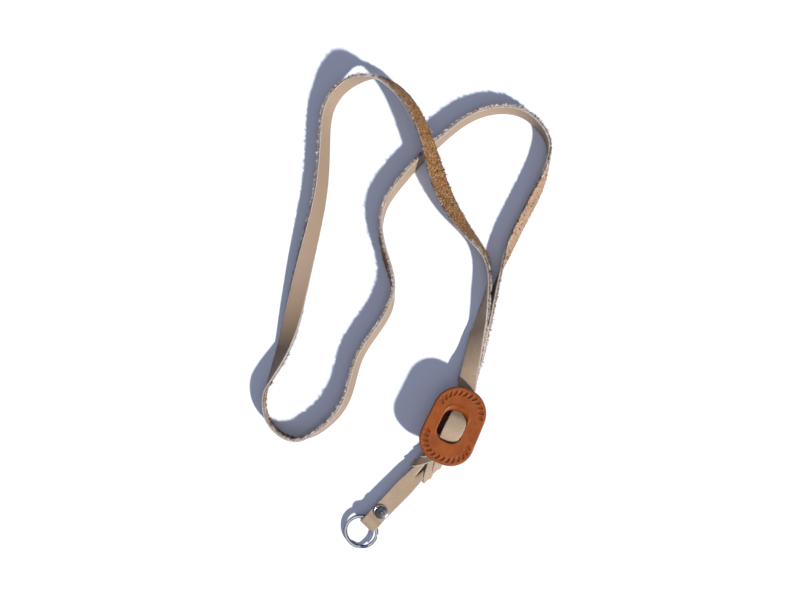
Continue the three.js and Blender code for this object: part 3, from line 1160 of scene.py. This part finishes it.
@dataclass
class NeckStrap:
    """The whole loop, one strip from the plait round and back, with the nap of its rough side."""

    width: float = 10.0
    thick: float = 1.6
    rounds: Pair = (0.4, 0.22)
    steps: tuple[int, int] = (8, 16)
    leg_gap: float = 0.45
    step: float = 0.6
    uneven: float = 0.012
    uneven_lengths: Triple = (31.0, 47.0, 83.0)
    uneven_seed: int = 3
    bulge: float = 0.13
    bulge_at: float = 24.5
    bulge_long: float = 6.0
    tuck: float = 0.3
    tuck_long: float = 6.0
    roughness: Triple = (0.01, 0.22, 0.15)
    rough_seed: int = 11
    least_ragged: float = 0.2
    nap: Fringe = Fringe(reach=(0.4, 1.1), seed=21)
    fibres: Fringe = Fringe(reach=(0.8, 2.2), seed=22)
    # Share of the darker colour over the grain, by running length along the strip: painted shade,
    # heaviest from the upper left bend down the left run and round the lower bend.
    painted_shade: Table = (
        (0.0, 0.0), (80.0, 0.0), (150.0, 0.3), (280.0, 0.72), (330.0, 0.9), (470.0, 0.95),
        (560.0, 0.7), (650.0, 0.65), (700.0, 0.7), (760.0, 0.5), (850.0, 0.3), (960.0, 0.0),
    )
    # Share of painted light on the flesh, by running length along the strip: paler nap on the
    # stretch down the right side, which faces the key light.
    painted_light: Table = (
        (0.0, 0.0), (765.0, 0.0), (790.0, 0.6), (835.0, 0.6), (865.0, 0.0), (980.0, 0.0),
    )

    def rows(self) -> Floats:
        """All rows of the strip: the legs are the stack moved half a strap and half the gap along
        its normal.

        Returns:
            Rows of x, y, height and lean.
        """
        away = sides(STACK)[1] * (self.thick + self.leg_gap) / 2
        flat = np.full((len(STACK), 1), 90.0)
        upper, lower = np.hstack([STACK + away, flat]), np.hstack([STACK - away, flat])
        return np.vstack([upper, LOOP, lower[::-1]])

    def route(self) -> Route:
        """The strip's line: x and y by natural curves and height and lean by steady ones over the
        length in plan, with the height never under half of width |cos lean| + thickness |sin lean|.

        Returns:
            The line.
        """
        rows = self.rows()
        knots = running_length(rows[:, :2])
        ways = np.linspace(0, knots[-1], int(knots[-1] / self.step))
        lean = steady_curve(knots, rows[:, 3], ways)
        angle = np.radians(lean)
        resting = (self.width * np.abs(np.cos(angle)) + self.thick * np.abs(np.sin(angle))) / 2
        height = np.maximum(steady_curve(knots, rows[:, 2], ways), resting)
        plan = [natural_curve(knots, rows[:, k], ways) for k in (0, 1)]
        return Route.leaning((np.stack([*plan, height], axis=1) - CENTRE) * MM, lean)

    def loop(self, route: Route) -> bpy.types.Object:
        """The strip itself, slightly uneven, wider where it bulges in the window and narrower at
        its tucked ends, with a rough flesh side and ragged edges, and never under the table.

        Args:
            route: The strip's line.

        Returns:
            The piece.
        """
        section = Section.of_strip(self.width, self.thick, self.rounds, self.steps)
        runs = route.ways / MM
        wide = 1 + self.uneven * wobble(runs, self.uneven_seed, self.uneven_lengths)
        wide += self.bulge * bump(runs - self.bulge_at, self.bulge_long)
        wide -= self.tuck * bump(np.minimum(runs, runs[-1] - runs), self.tuck_long)
        rings = sweep(route, section, wide)
        count, size = rings.shape[:2]
        roughness = np.choose(section.side, self.roughness) * MM
        noise = np.random.default_rng(self.rough_seed).normal(0, 1, (count, size)) * roughness
        inward = np.clip(-section.through / (self.thick * MM / 2), 0, 1)
        rings += (noise * inward)[:, :, None] * route.normal[:, None, :]
        depth = 0.5 - section.through / (self.thick * MM)
        ragged = np.sign(section.across) * np.clip(depth, self.least_ragged, 1)
        edges = np.where(section.side == Side.EDGE, ragged, 0.0)
        rings += (noise * edges)[:, :, None] * route.across[:, None, :]
        rings[:, :, 2] = np.maximum(rings[:, :, 2], 0.0)
        shell = Shell.tube(rings, section.side, Side.EDGE, strip_map(route, section))
        depths = np.tile(np.where(section.side == Side.EDGE, depth, 0.5), count)
        # The grain's share of the darker colour along the strip: painted shade.
        shell.values["tan"] = np.append(np.repeat(follow(self.painted_shade, 1, runs), size), [0.0, 0.0])
        shell.values["depth"] = np.append(depths, [0.5, 0.5])
        # Painted light: paler nap where the strip faces the key light.
        painted_light = np.repeat(follow(self.painted_light, 1, runs), size)
        shell.values["painted_light"] = np.append(painted_light, [0.0, 0.0])
        return shell.outward().piece("strap_loop", LEATHER)

    def build(self) -> None:
        """Make the strip and its nap."""
        route = self.route()
        log.info("strip is %.0f mm long", route.ways[-1] / MM)
        settle(self.loop(route), Body.STRAP, Slot.STRAP, "neck_strap")
        for name, fringe in (("strap_nap", self.nap), ("strap_fibres", self.fibres)):
            fibres = fringe.grow(route, self.width, self.thick)
            settle(fibres.outward().piece(name, [NAP]), Body.STRAP, Slot.STRAP)


@dataclass
class Slider:
    """The rounded plate with its window and tooled border, and the strip behind the legs that keeps
    it on."""

    centre: Pair = (26.8, -63.5)
    heading: float = 24.5
    under: float = 15.25
    width: float = 31.0
    length: float = 45.0
    corner: float = 13.9
    thick: float = 3.0
    window_width: float = 14.0
    window_length: float = 18.2
    window_corner: float = 5.8
    window_at: Pair = (-0.85, -0.7)
    top_round: float = 0.75
    window_round: float = 0.6
    lip_from: Pair = (0.1, 0.95)
    lip_wide: float = 2.2
    lip_deep: float = 1.6
    bead: float = 0.3
    bead_wide: float = 0.75
    taper: float = 0.05
    under_round: float = 0.4
    border: float = 5.6
    stamp_at: float = 3.3
    stamp_pitch: float = 3.0
    stamp_size: Pair = (1.15, 1.8)
    stamp_slant: float = 0.45
    stamp_deep: float = 0.42
    stamp_soft: float = 0.62
    stamp_fade: float = 0.3
    stamp_burnish: float = 0.5
    stamps_from: Pair = (-5.0, 9.5)
    burr: float = 0.06
    burr_at: float = 1.12
    burr_wide: float = 0.12
    around: int = 640
    border_steps: int = 30
    face_steps: int = 18
    wall_steps: int = 5
    under_steps: int = 12
    # Darkening round the window's upper lip, heaviest at its inner edge: partly the dyed, burnished
    # edge and partly painted shade where the lip meets the strap.
    lip_burnish_and_shade: tuple[float, ...] = (0.0, 0.0, 0.05, 0.18, 0.7, 1.0, 1.0)
    wall_burnish: float = 0.9
    foot_burnish: float = 0.75
    under_burnish: float = 0.3
    edge_burnish: Pair = (0.85, 0.12)
    keeper_at: float = 1.2
    keeper_inner: float = 8.1
    keeper_outer: float = 10.4
    keeper_wide: float = 19.0
    keeper_thick: float = 2.0
    keeper_drop: float = 7.9
    keeper_top: float = 1.4
    keeper_bend: float = 1.5
    keeper_round: float = 0.35
    keeper_faces: float = 4.0
    keeper_steps: int = 4
    keeper_turns: int = 9
    keeper_burnish: float = 0.35

    def outline(self) -> tuple[Floats, Floats, Floats]:
        """Once round a plate with rounded corners: in a corner the normal turns and the corner's
        centre stays, and along a side the centre moves and the normal stays.

        Returns:
            Centre as shares (-1 to 1) of a corner's centre, unit normals, and running length at the
            stamps with the whole length last.
        """
        x, y = self.width / 2 - self.corner, self.length / 2 - self.corner
        signs = np.array([[1, -1], [1, 1], [-1, 1], [-1, -1]], float)
        arc = math.pi / 2 * (self.corner - self.stamp_at)
        lengths = np.array([arc, 2 * y, arc, 2 * x] * 2)
        ends = np.concatenate([[0], np.cumsum(lengths)])
        run = np.linspace(0, ends[-1], self.around, endpoint=False)
        part = np.clip(np.searchsorted(ends, run, side="right") - 1, 0, len(lengths) - 1)
        share = ((run - ends[part]) / lengths[part])[:, None]
        corner = part // 2
        turning = (part % 2 == 0)[:, None]
        angle = np.radians(-90 + 90 * corner[:, None] + 90 * np.where(turning, share, 1))
        here, following = signs[corner], signs[(corner + 1) % 4]
        centre = np.where(turning, here, here + (following - here) * share)
        return centre, np.hstack([np.cos(angle), np.sin(angle)]), np.append(run, ends[-1])

    def tooling(self, run: Floats, level: Floats, inside: Floats) -> tuple[Floats, Floats]:
        """Depth of the border's tooling: slanted oval stamps with a slight burr, at an even pitch
        along the upper and the lower end.

        Args:
            run: Running length round the border, with the whole length last.
            level: Way up the plate of each place round the border.
            inside: Distance inside the plate's edge of each column.

        Returns:
            Depth in millimetres at each place (round by columns), and the share that is burnished.
        """
        whole = run[-1]
        pitch = whole / round(whole / self.stamp_pitch)
        s, d = np.meshgrid(run[:-1], inside, indexing="ij")
        slanted = s - self.stamp_slant * (d - self.stamp_at)
        off = (slanted + pitch / 2) % pitch - pitch / 2
        at = np.interp((slanted - off) % whole, run[:-1], level)
        kept = (at < self.stamps_from[0]) | (at > self.stamps_from[1])
        oval = np.hypot(off / self.stamp_size[0], (d - self.stamp_at) / self.stamp_size[1])
        stamp = (1 - smooth(self.stamp_soft, 1.0, oval)) * kept
        burr = bump(oval - self.burr_at, self.burr_wide) * kept
        return self.stamp_deep * stamp - self.burr * burr, self.stamp_burnish * stamp

    def to_table(self, flat: Floats, height: Floats) -> Floats:
        """Places on the plate to metres on the table: narrowed towards the upper end, turned by the
        heading and moved to its centre.

        Args:
            flat: Places (x, y) on the plate.
            height: Height of each over the plate's underside.

        Returns:
            Points on the table.
        """
        angle = math.radians(-self.heading)
        cos, sin = math.cos(angle), math.sin(angle)
        narrow = 1 - self.taper * flat[..., 1] / (self.length / 2)
        narrowed = np.stack([flat[..., 0] * narrow, flat[..., 1]], axis=-1)
        spot = narrowed @ np.array([[cos, sin], [-sin, cos]]) + np.array(self.centre)
        return (np.concatenate([spot, (height + self.under)[..., None]], axis=-1) - CENTRE) * MM

    def plate(self) -> bpy.types.Object:
        """The plate as one ring-shaped grid: round the outline by once round the section, which
        goes over the border and the face into the window, down its wall, along the underside and up
        the outer wall. Rounded edges are quarter turns, of 1 - cos a and 1 - sin a.

        Returns:
            The piece.
        """
        centre, normal, run = self.outline()
        outer = centre * (np.array([self.width, self.length]) / 2 - self.corner)
        inner = np.array([self.window_width, self.window_length]) / 2 - self.window_corner
        inner = centre * inner + np.array(self.window_at)

        def from_edge(d: Floats) -> Floats:
            """Places a distance inside the plate's edge."""
            return outer[:, None] + normal[:, None] * (self.corner - d)[None, :, None]

        def from_window(e: Floats) -> Floats:
            """Places a distance outside the window's edge, the same all round or row by row."""
            outside = self.window_corner + np.atleast_2d(e)
            return inner[:, None] + normal[:, None] * outside[..., None]

        top, low, edge = self.thick, self.under_round, self.top_round
        quarter = np.linspace(0, math.pi / 2, len(self.lip_burnish_and_shade))
        fall, ease = 1 - np.cos(quarter), 1 - np.sin(quarter)
        inside = np.linspace(edge, self.border, self.border_steps)
        level = outer[:, 1] + normal[:, 1] * (self.corner - self.stamp_at)
        depth, stamped = self.tooling(run, level, inside)
        depth = depth * smooth(edge, edge + self.stamp_fade, inside)
        upper = smooth(*self.lip_from, normal[:, 1])[:, None]
        reach = self.window_round + self.lip_wide * upper
        drop = self.window_round + self.lip_deep * upper
        rim, lip = from_edge(np.array([self.border])), from_window(reach)
        face = 1 - (1 - np.linspace(0, 1, self.face_steps)[1:-1]) ** 2
        to_lip = (1 - face) * np.linalg.norm(rim - lip, axis=2)
        bead = self.bead * upper * bump(to_lip, self.bead_wide)
        lip_bead = self.bead * upper * bump(reach * np.sin(quarter), self.bead_wide)
        wall = np.linspace(0, 1, self.wall_steps)[1:-1]
        under = np.linspace(0, 1, self.under_steps)[1:-1, None]
        foot, heel = from_window(np.array([low])), from_edge(np.array([low]))
        rise_burnish = np.linspace(*self.edge_burnish, len(quarter) - 1)
        bands = [
            (from_edge(inside), top - depth, stamped),
            (rim + (lip - rim) * face[:, None], top + bead, 0.0),
            (from_window(reach * ease), top - drop * fall + lip_bead, self.lip_burnish_and_shade),
            (from_window(0 * wall), low + (top - drop - low) * wall[::-1], self.wall_burnish),
            (from_window(low * fall[::2]), low * ease[::2], self.foot_burnish),
            (foot + (heel - foot) * under, 0.0, self.under_burnish),
            (from_edge(low * ease[::2]), low * fall[::2], self.edge_burnish[0]),
            (from_edge(0 * wall), low + (top - edge - low) * wall, self.wall_burnish),
            (from_edge(edge * fall[:-1]), top - edge * ease[:-1], rise_burnish),
        ]
        flat = np.concatenate([band[0] for band in bands], axis=1)
        height, burnish = (
            np.hstack([np.broadcast_to(band[k], band[0].shape[:2]) for band in bands])
            for k in (1, 2)
        )
        points = self.to_table(flat, height).reshape(-1, 3)
        quads = grid_faces(*height.shape, round_rows=True, round_columns=True)
        shell = Shell(points, quads, values={"burnish": burnish.ravel()})
        return shell.outward().piece("slider_plate", [SADDLE])

    def keeper(self) -> bpy.types.Object:
        """The keeper strip, carried along a path shaped like a U with rounded corners: down from
        the plate, across behind both legs and up again.

        Returns:
            The piece.
        """
        reach = (self.keeper_inner + self.keeper_outer) / 2
        floor = self.keeper_thick / 2 - self.keeper_drop
        bend = self.keeper_bend
        turn = np.radians(np.linspace(0, 90, self.keeper_turns))
        right = [reach - bend + bend * np.cos(turn), floor + bend - bend * np.sin(turn)]
        rise = np.linspace(self.keeper_top, floor + bend, self.keeper_steps + 1)[:-1]
        rise = [np.full(self.keeper_steps, reach), rise]
        half = np.vstack([np.stack(rise, axis=1), np.stack(right, axis=1)])
        line = np.vstack([half, half[::-1] * [-1, 1]])
        flat = np.stack([line[:, 0], np.full(len(line), self.keeper_at)], axis=1)
        middle = self.to_table(flat, line[:, 1])
        faced = self.to_table(np.array([[0.0, self.keeper_at]]), np.array([self.keeper_faces]))
        rounds, steps = (self.keeper_round,) * 2, (self.keeper_steps,) * 2
        section = Section.of_strip(self.keeper_wide, self.keeper_thick, rounds, steps)
        rings = sweep(Route.facing(middle, faced - middle), section)
        shell = Shell.tube(rings)
        shell.values["burnish"] = np.full(len(shell.points), self.keeper_burnish)
        return shell.outward().piece("slider_keeper", [SADDLE])

    def build(self) -> None:
        """Make the plate and its keeper."""
        settle(self.plate(), Body.STRAP, Slot.SLIDER, "slider")
        settle(self.keeper(), Body.STRAP, Slot.SLIDER)


@dataclass
class Tail:
    """The line on which the plait, the tab, the rivet and the ring lie: x towards the ring, y to
    its left, z up."""

    start: Pair = (20.2, -78.3)
    heading: float = 226.0

    def to_table(self, points: Floats) -> Floats:
        """Places on the tail to metres on the table: x along, y left and z up from the start.

        Args:
            points: Places (x, y, z) on the tail.

        Returns:
            Points on the table.
        """
        angle = math.radians(self.heading)
        along = np.array([math.cos(angle), math.sin(angle), 0.0])
        left = np.array([-math.sin(angle), math.cos(angle), 0.0])
        spot = points[..., :1] * along + points[..., 1:2] * left + points[..., 2:] * UP
        return (spot + np.array([*self.start, 0.0]) - CENTRE) * MM

    def turned(self, vectors: Floats) -> Floats:
        """Directions on the tail to directions on the table."""
        return (self.to_table(vectors) - self.to_table(np.zeros(3))) / MM


@dataclass
class Plait:
    """The plaited join: pairs of bands that cross in chevrons round a core, laid like shingles.
    Tips and the pairs in the plural are for the bands to the right and to the left."""

    tail: Tail
    tips: tuple[Pair, Pair] = ((-1.6, 5.9), (-2.9, 5.0))
    slopes: Pair = (1.95, 2.2)
    sides: Pair = (5.4, 6.0)
    wides: Pair = (4.6, 5.4)
    shingles: Pair = (32.0, 20.0)
    sinks: Pair = (0.0, 0.3)
    tans: Pair = (0.66, 0.45)
    shingle_power: float = 1.3
    shingle_from: Pair = (-14.0, 2.0)
    drift: float = 1.0
    height: float = 3.5
    rise: float = 2.0
    dive: float = 4.0
    least_sine: float = -0.27
    last_turn: float = 168.0
    band_steps: int = 73
    band_thick: float = 1.9
    band_rounds: Pair = (0.4, 0.25)
    across_steps: tuple[int, int] = (8, 8)
    narrowing: float = 0.15
    narrow_from: Pair = (60.0, 110.0)
    rough: float = 0.02
    rough_seed: int = 31
    tucked: float = 2.6
    core_side: float = 4.6
    core_rise: float = 1.7
    core_drop: float = 0.3
    core_from: float = -6.0
    core_to: float = 24.5
    core_end: float = 2.0
    core_least: float = 0.01
    core_steps: int = 60
    core_turns: int = 32
    under_tab: float = 0.5
    under_from: Pair = (11.0, 17.0)
    core_sag: float = 0.7

    def band(self, tip: float, left: bool) -> Shell:
        """One band, slantwise from inside the core over the top middle, round one side and beneath:
        an oval turn of side sin a and rise cos a that goes along by slope times its way across,
        dips quickly before its tip, and leans back so that its lower edge stands over the next.

        Args:
            tip: Way along where it crosses the middle.
            left: Whether it goes to the left side of the tail.

        Returns:
            The band.
        """
        sizes = self.slopes, self.sides, self.wides, self.shingles, self.sinks, self.tans
        slope, side, wide, shingle, sink, tan = (pair[left] for pair in sizes)
        sine = (self.core_from + self.tucked - tip) / (slope * side)
        begin = np.degrees(np.arcsin(np.clip(sine, self.least_sine, 1)))
        turn = np.linspace(begin, self.last_turn, self.band_steps)
        angle = np.radians(turn)
        out = np.sin(np.radians(np.minimum(turn, 90)))
        way = tip + slope * side * out + self.drift * turn / 180
        across = (1 if left else -1) * side * np.sin(angle)
        lift = self.rise * np.cos(np.radians(np.where(turn < 0, self.dive * turn, turn)))
        middle = np.stack([way, across, self.height + lift - sink], axis=1)
        normal = unit(np.stack([0 * way, across / side**2, np.cos(angle) / self.rise], axis=1))
        back = np.clip(np.cos(angle), 0, 1) ** self.shingle_power * smooth(*self.shingle_from, turn)
        lean = np.radians(shingle * back)[:, None]
        normal = normal * np.cos(lean) - np.array([1.0, 0, 0]) * np.sin(lean)
        route = Route.facing(self.tail.to_table(middle), self.tail.turned(normal))
        section = Section.of_strip(wide, self.band_thick, self.band_rounds, self.across_steps)
        share = 1 - self.narrowing * smooth(*self.narrow_from, turn)
        rings = sweep(route, section, share)
        noise = np.random.default_rng(self.rough_seed).normal(0, self.rough * MM, rings.shape[:2])
        rings += noise[:, :, None] * route.normal[:, None, :]
        shell = Shell.tube(rings, section.side, Side.EDGE).outward()
        shell.values["tan"] = np.full(len(shell.points), tan)
        return shell

    def core(self) -> bpy.types.Object:
        """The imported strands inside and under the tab's slit, an oval rod with rounded ends: half
        sizes times the root of 1 - t squared near each end, narrower and lower under the tab.

        Returns:
            The piece.
        """
        way = np.linspace(self.core_from, self.core_to, self.core_steps)[:, None]
        near = np.clip(np.minimum(way - self.core_from, self.core_to - way) / self.core_end, 0, 1)
        size = np.sqrt(np.clip(1 - (1 - near) ** 2, self.core_least, 1))
        under = smooth(*self.under_from, way)
        turn = np.linspace(0, 2 * np.pi, self.core_turns, endpoint=False)
        level = self.height - self.core_drop - self.core_sag * under
        points = np.stack([
            np.repeat(way, self.core_turns, axis=1),
            self.core_side * (1 - self.under_tab * under) * size * np.cos(turn),
            level + self.core_rise * size * np.sin(turn),
        ], axis=-1)
        shell = Shell.tube(self.tail.to_table(points), Side.FLESH, Side.FLESH).outward()
        shell.values["tan"] = np.ones(len(shell.points))
        return shell.piece("plait_core", PLAIT_LEATHER)

    def build(self) -> None:
        """Make the bands as one mesh, and the core."""
        bands = [self.band(tip, left) for left in (False, True) for tip in self.tips[left]]
        whole = bands[0]
        for other in bands[1:]:
            whole = whole.join(other)
        settle(whole.piece("plait_bands", PLAIT_LEATHER), Body.STRAP, Slot.STRAP, "plait")
        settle(self.core(), Body.STRAP, Slot.STRAP)


@dataclass
class RingTab:
    """The tab: one strip from under the plait to the ring, round it, and back under itself past the
    rivet. The rows are way along, height of the middle and width."""

    tail: Tail
    nominal: float = 10.0
    thick: float = 2.0
    rounds: Pair = (0.4, 0.25)
    steps: tuple[int, int] = (64, 64)
    gap: float = 0.3
    axis: float = 57.8
    inner: float = 2.1
    neck_angle: float = 33.0
    ease_before: float = 0.7
    ease_after: Pair = (0.5, 0.35)
    tail_end: float = 39.5
    rivet_at: float = 49.6
    slit_tip: float = 22.5
    slit_wide: float = 2.2
    slit_at: float = -0.45
    groove_wide: float = 1.2
    groove_deep: float = 0.6
    groove_ends: Pair = (17.0, 23.5)
    upper_steps: int = 60
    eye_steps: int = 60
    even_steps: int = 260
    rows: Table = (
        (13.2, 4.3, 6.6),
        (19.75, 4.8, 8.8),
        (24.0, 4.9, 9.6),
        (31.0, 4.75, 10.4),
        (39.0, 5.1, 10.1),
        (45.0, 5.25, 9.9),
    )

    def line(self) -> tuple[Floats, Floats]:
        """The tab's middle line in its own plane, and its width there: a steady curve to the rivet,
        a slope up to the eye, the eye as an arc, and the same slope back to a straight lower layer.

        Returns:
            Points (way, height) and widths, at an even step.
        """
        first, last = self.rows[0], self.rows[-1]
        fold = self.inner + self.thick / 2
        floor = self.inner + self.thick
        layer = (self.thick + self.gap) / 2
        neck = math.radians(self.neck_angle)
        slope = (fold * math.cos(neck) - layer) / math.tan(neck)
        kink = self.axis - fold * math.sin(neck) - slope
        way = np.linspace(first[0], last[0], self.upper_steps)
        upper = np.stack([way, follow(self.rows, 1, way)], axis=1)
        width = follow(self.rows, 2, way)
        turned = 90 + self.neck_angle
        turn = np.radians(np.linspace(turned, -turned, self.eye_steps))
        eye = np.stack([self.axis + fold * np.cos(turn), floor + fold * np.sin(turn)], axis=1)
        ease = np.array([[-self.ease_before, 0.0], self.ease_after]) + [kink, floor + layer]
        back = np.array([[self.rivet_at, floor - layer], [self.tail_end, floor - layer]])
        knots = np.vstack([upper, ease, eye, ease[::-1] * [1, -1] + [0, 2 * floor], back])
        wide = np.append(width, np.full(len(knots) - len(width), last[2]))
        runs = running_length(knots)
        even = np.linspace(0, runs[-1], self.even_steps)
        points = np.stack([np.interp(even, runs, knots[:, k]) for k in (0, 1)], axis=1)
        return points, np.interp(even, runs, wide)

    def build(self) -> None:
        """Make the tab. Its upper end has a slit: there each lengthwise row of points starts
        further along the nearer it is to the slit's middle, by 1 - off / half width of the way to
        the slit's tip, and the leather sinks towards it."""
        line, wide = self.line()
        middle = np.stack([line[:, 0], np.zeros(len(line)), line[:, 1]], axis=1)
        normal = headings(middle)[:, ::-1] * [-1, 1, 1]
        route = Route.facing(self.tail.to_table(middle), self.tail.turned(normal))
        section = Section.of_strip(self.nominal, self.thick, self.rounds, self.steps)
        rings = sweep(route, section, wide / self.nominal)
        off = section.across / MM - self.slit_at
        deep = self.groove_deep * MM * (1 - smooth(*self.groove_ends, line[:, :1]))
        rings[:, :, 2] -= deep * bump(off, self.groove_wide)
        runs = route.ways / MM
        start = (self.slit_tip - line[0, 0]) * np.clip(1 - np.abs(off) / (self.slit_wide / 2), 0, 1)
        moved = start + runs[:, None] * (1 - start / runs[-1])
        rings = np.stack([
            np.stack([np.interp(ways, runs, part) for part in row.T], axis=1)
            for ways, row in zip(moved.T, rings.swapaxes(0, 1))
        ], axis=1)
        spread = strip_map(route, section)
        shell = Shell.tube(rings, section.side, Side.EDGE, spread, section.halves()).outward()
        settle(shell.piece("tab_leather", LEATHER), Body.STRAP, Slot.STRAP, "ring_tab")


@dataclass
class Rivet:
    """The double-cap rivet: a dark dished cap with a bright rim above, a flat cap below and the
    post between. The rows of the caps are share of the cap's radius, height off the leather's face
    and finish, which is 1 on the rim."""

    tail: Tail
    at: float = 49.6
    middle: float = 4.1
    face: float = 2.35
    cap: float = 4.15
    post: float = 1.5
    back_cap: float = 3.9
    seam: float = 0.1
    pole: float = 0.02
    turns: int = 96
    back_rows: Table = (
        (0.6, 1.0, 0), (0.82, 0.96, 0), (0.94, 0.8, 0), (1.0, 0.5, 0), (1.0, 0.1, 0),
    )
    back_high: float = 1.0
    cap_rows: Table = (
        (1.0, 0.1, 1), (1.0, 0.5, 1), (0.99, 0.72, 1), (0.96, 0.9, 1), (0.92, 0.98, 1),
        (0.89, 0.97, 1), (0.87, 0.9, 0), (0.85, 0.92, 0), (0.82, 1.05, 0), (0.76, 1.18, 0),
        (0.6, 1.3, 0), (0.35, 1.38, 0),
    )
    cap_high: float = 1.4

    def build(self) -> None:
        """Make the rivet by turning its profile (radius, height, finish) about the post's axis."""
        top, low = self.middle + self.face, self.middle - self.face
        profile = np.vstack([
            [self.pole, low - self.back_high, 0],
            np.array(self.back_rows) * [self.back_cap, -1, 1] + [0, low, 0],
            [[self.back_cap - self.seam, low, 0], [self.post, low, 0], [self.post, top, 0]],
            [self.cap - self.seam, top, 1],
            np.array(self.cap_rows) * [self.cap, 1, 1] + [0, top, 0],
            [self.pole, top + self.cap_high, 0],
        ])
        turn = np.linspace(0, 2 * np.pi, self.turns, endpoint=False)
        radius, height = profile[:, :1], profile[:, 1:2]
        rings = np.stack([
            self.at + radius * np.cos(turn),
            radius * np.sin(turn),
            np.repeat(height, self.turns, axis=1),
        ], axis=-1)
        shell = Shell.tube(self.tail.to_table(rings))
        shell.quad_finish = np.repeat(profile[:-1, 2].astype(int), self.turns)
        made = shell.outward().piece("rivet_caps", [DARK_NICKEL, BRIGHT_RIM])
        settle(made, Body.STRAP, Slot.RIVET, "rivet")


@dataclass
class SplitRing:
    """The split ring: two turns of flat wire that step from the lower coil to the upper one, hung
    in the tab's eye."""

    tail: Tail
    axis: float = 57.8
    height: float = 4.1
    outer: float = 10.0
    inner: float = 8.2
    wire: float = 0.9
    soft: float = 0.26
    across_steps: tuple[int, int] = (6, 6)
    pitch: float = 0.98
    jog: float = 40.0
    start: float = 75.0
    end_gap: float = 5.0
    reach: float = 8.5
    tilt: float = 9.6
    steps: int = 420
    painted_reflection_from: Pair = (0.3, 0.8)

    def build(self) -> None:
        """Make the ring: a rounded section carried twice round, rising by a smooth step within the
        jog, with the wire's sides marked for a painted dark reflection."""
        wide = self.outer - self.inner
        rounds = self.soft, self.soft
        section = Section.of_strip(wide, self.wire, rounds, self.across_steps, scale=1.0)
        turn = np.linspace(0, 720 - self.jog - self.end_gap, self.steps)
        rise = (smooth(360 - self.jog, 360, turn) - 0.5) * self.pitch
        angle = np.radians(turn + self.start)[:, None]
        radius = (self.outer + self.inner) / 2 + section.across[None, :]
        x = self.reach + radius * np.cos(angle)
        z = rise[:, None] + section.through[None, :]
        lean = math.radians(self.tilt)
        rings = np.stack([
            self.axis + x * math.cos(lean) + z * math.sin(lean),
            radius * np.sin(angle),
            self.height - x * math.sin(lean) + z * math.cos(lean),
        ], axis=-1)
        shell = Shell.tube(self.tail.to_table(rings))
        # Painted reflection: the wire's sides are darkened, as if they mirrored dark surroundings.
        painted_reflection = smooth(*self.painted_reflection_from, np.abs(section.across) / wide * 2)
        shell.values["painted_reflection"] = np.append(np.tile(painted_reflection, self.steps), [0.5, 0.5])
        settle(shell.outward().piece("ring_coils", [STEEL]), Body.RING, Slot.RING, "split_ring")


@dataclass
class Studio:
    """The table, the lights and the camera straight above, as in the photograph, in metres."""

    table: float = 4.0
    camera_at: Triple = (-0.0037, 0.00815, 0.644)
    lens: float = 50.0
    clip: Pair = (0.01, 50.0)
    sun_way: Triple = (-0.82, 0.876, -1.0)
    sun_power: float = 5.1
    sun_spread: float = 3.0
    sky: Colour = (0.165, 0.185, 0.265)
    fill_at: Triple = (0.05, -0.05, 1.7)
    fill_size: float = 1.1
    fill_power: float = 2.75
    fill_colour: Colour = (0.8, 0.87, 1.0)
    card_at: Triple = (-0.52, -0.96, 1.7)
    card_size: float = 0.7
    card_power: float = 1.0

    def floor(self) -> None:
        """The table's top, a level square just under the object."""
        s = self.table / 2
        points = np.array([[-s, -s, 0.0], [s, -s, 0.0], [s, s, 0.0], [-s, s, 0.0]])
        Shell(points, np.array([[0, 1, 2, 3]])).piece("table_top", [FLOOR])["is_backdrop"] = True

    def light(self, name: str, kind: str, power: float, way: Vector) -> bpy.types.Object:
        """Put up a light at the origin.

        Args:
            name: Name of the light.
            kind: Its kind.
            power: Its power.
            way: Direction in which it shines.

        Returns:
            The light.
        """
        data = bpy.data.lights.new(name, kind)
        data.energy = power
        made = add_object(name, data)
        made.rotation_mode = "QUATERNION"
        made.rotation_quaternion = way.to_track_quat("-Z", "Y")
        return made

    def panel(self, name: str, at: Triple, size: float, power: float, colour: Colour) -> None:
        """A square panel of light that faces the object.

        Args:
            name: Name of the light.
            at: Its place.
            size: Length of its sides.
            power: Its power in watts.
            colour: Its colour.
        """
        screen = self.light(name, "AREA", power, -Vector(at))
        screen.location = at
        screen.data.size, screen.data.color = size, colour

    def lights(self) -> None:
        """A key light from the lower right, a broad cool panel overhead, a white card that the
        steel mirrors and a dim even sky."""
        key = self.light("key", "SUN", self.sun_power, Vector(self.sun_way))
        key.data.angle = math.radians(self.sun_spread)
        self.panel("fill", self.fill_at, self.fill_size, self.fill_power, self.fill_colour)
        self.panel("card", self.card_at, self.card_size, self.card_power, WHITE)
        world = bpy.data.worlds.new("sky")
        world.use_nodes = True
        world.node_tree.nodes["Background"].inputs["Color"].default_value = (*self.sky, 1.0)
        bpy.context.scene.world = world

    def camera(self) -> None:
        """The camera, looking straight down with the table's +Y at the top."""
        data = bpy.data.cameras.new("camera")
        data.lens = self.lens
        data.clip_start, data.clip_end = self.clip
        made = add_object("camera", data)
        made.location = self.camera_at
        bpy.context.scene.camera = made

    def build(self) -> None:
        """Set the stage and plain colours for the picture."""
        self.floor()
        self.lights()
        self.camera()
        bpy.context.scene.view_settings.view_transform = "Standard"


def note_sizes() -> None:
    """Work out the boxes of the solids and of the dressed part, as plain lists."""
    bpy.context.view_layer.update()
    boxes = {"cad": CAD_BOX, "visual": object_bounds()}
    boxes = {name: [list(corner) for corner in box] for name, box in boxes.items()}


def main() -> None:
    """Build the stage and every piece in order."""
    logging.basicConfig(level=logging.INFO, format="%(name)s: %(message)s")
    Studio().build()
    NeckStrap().build()
    Slider().build()
    tail = Tail()
    for piece in (Plait, RingTab, Rivet, SplitRing):
        piece(tail).build()
    note_sizes()


if __name__ == "__main__":
    main()
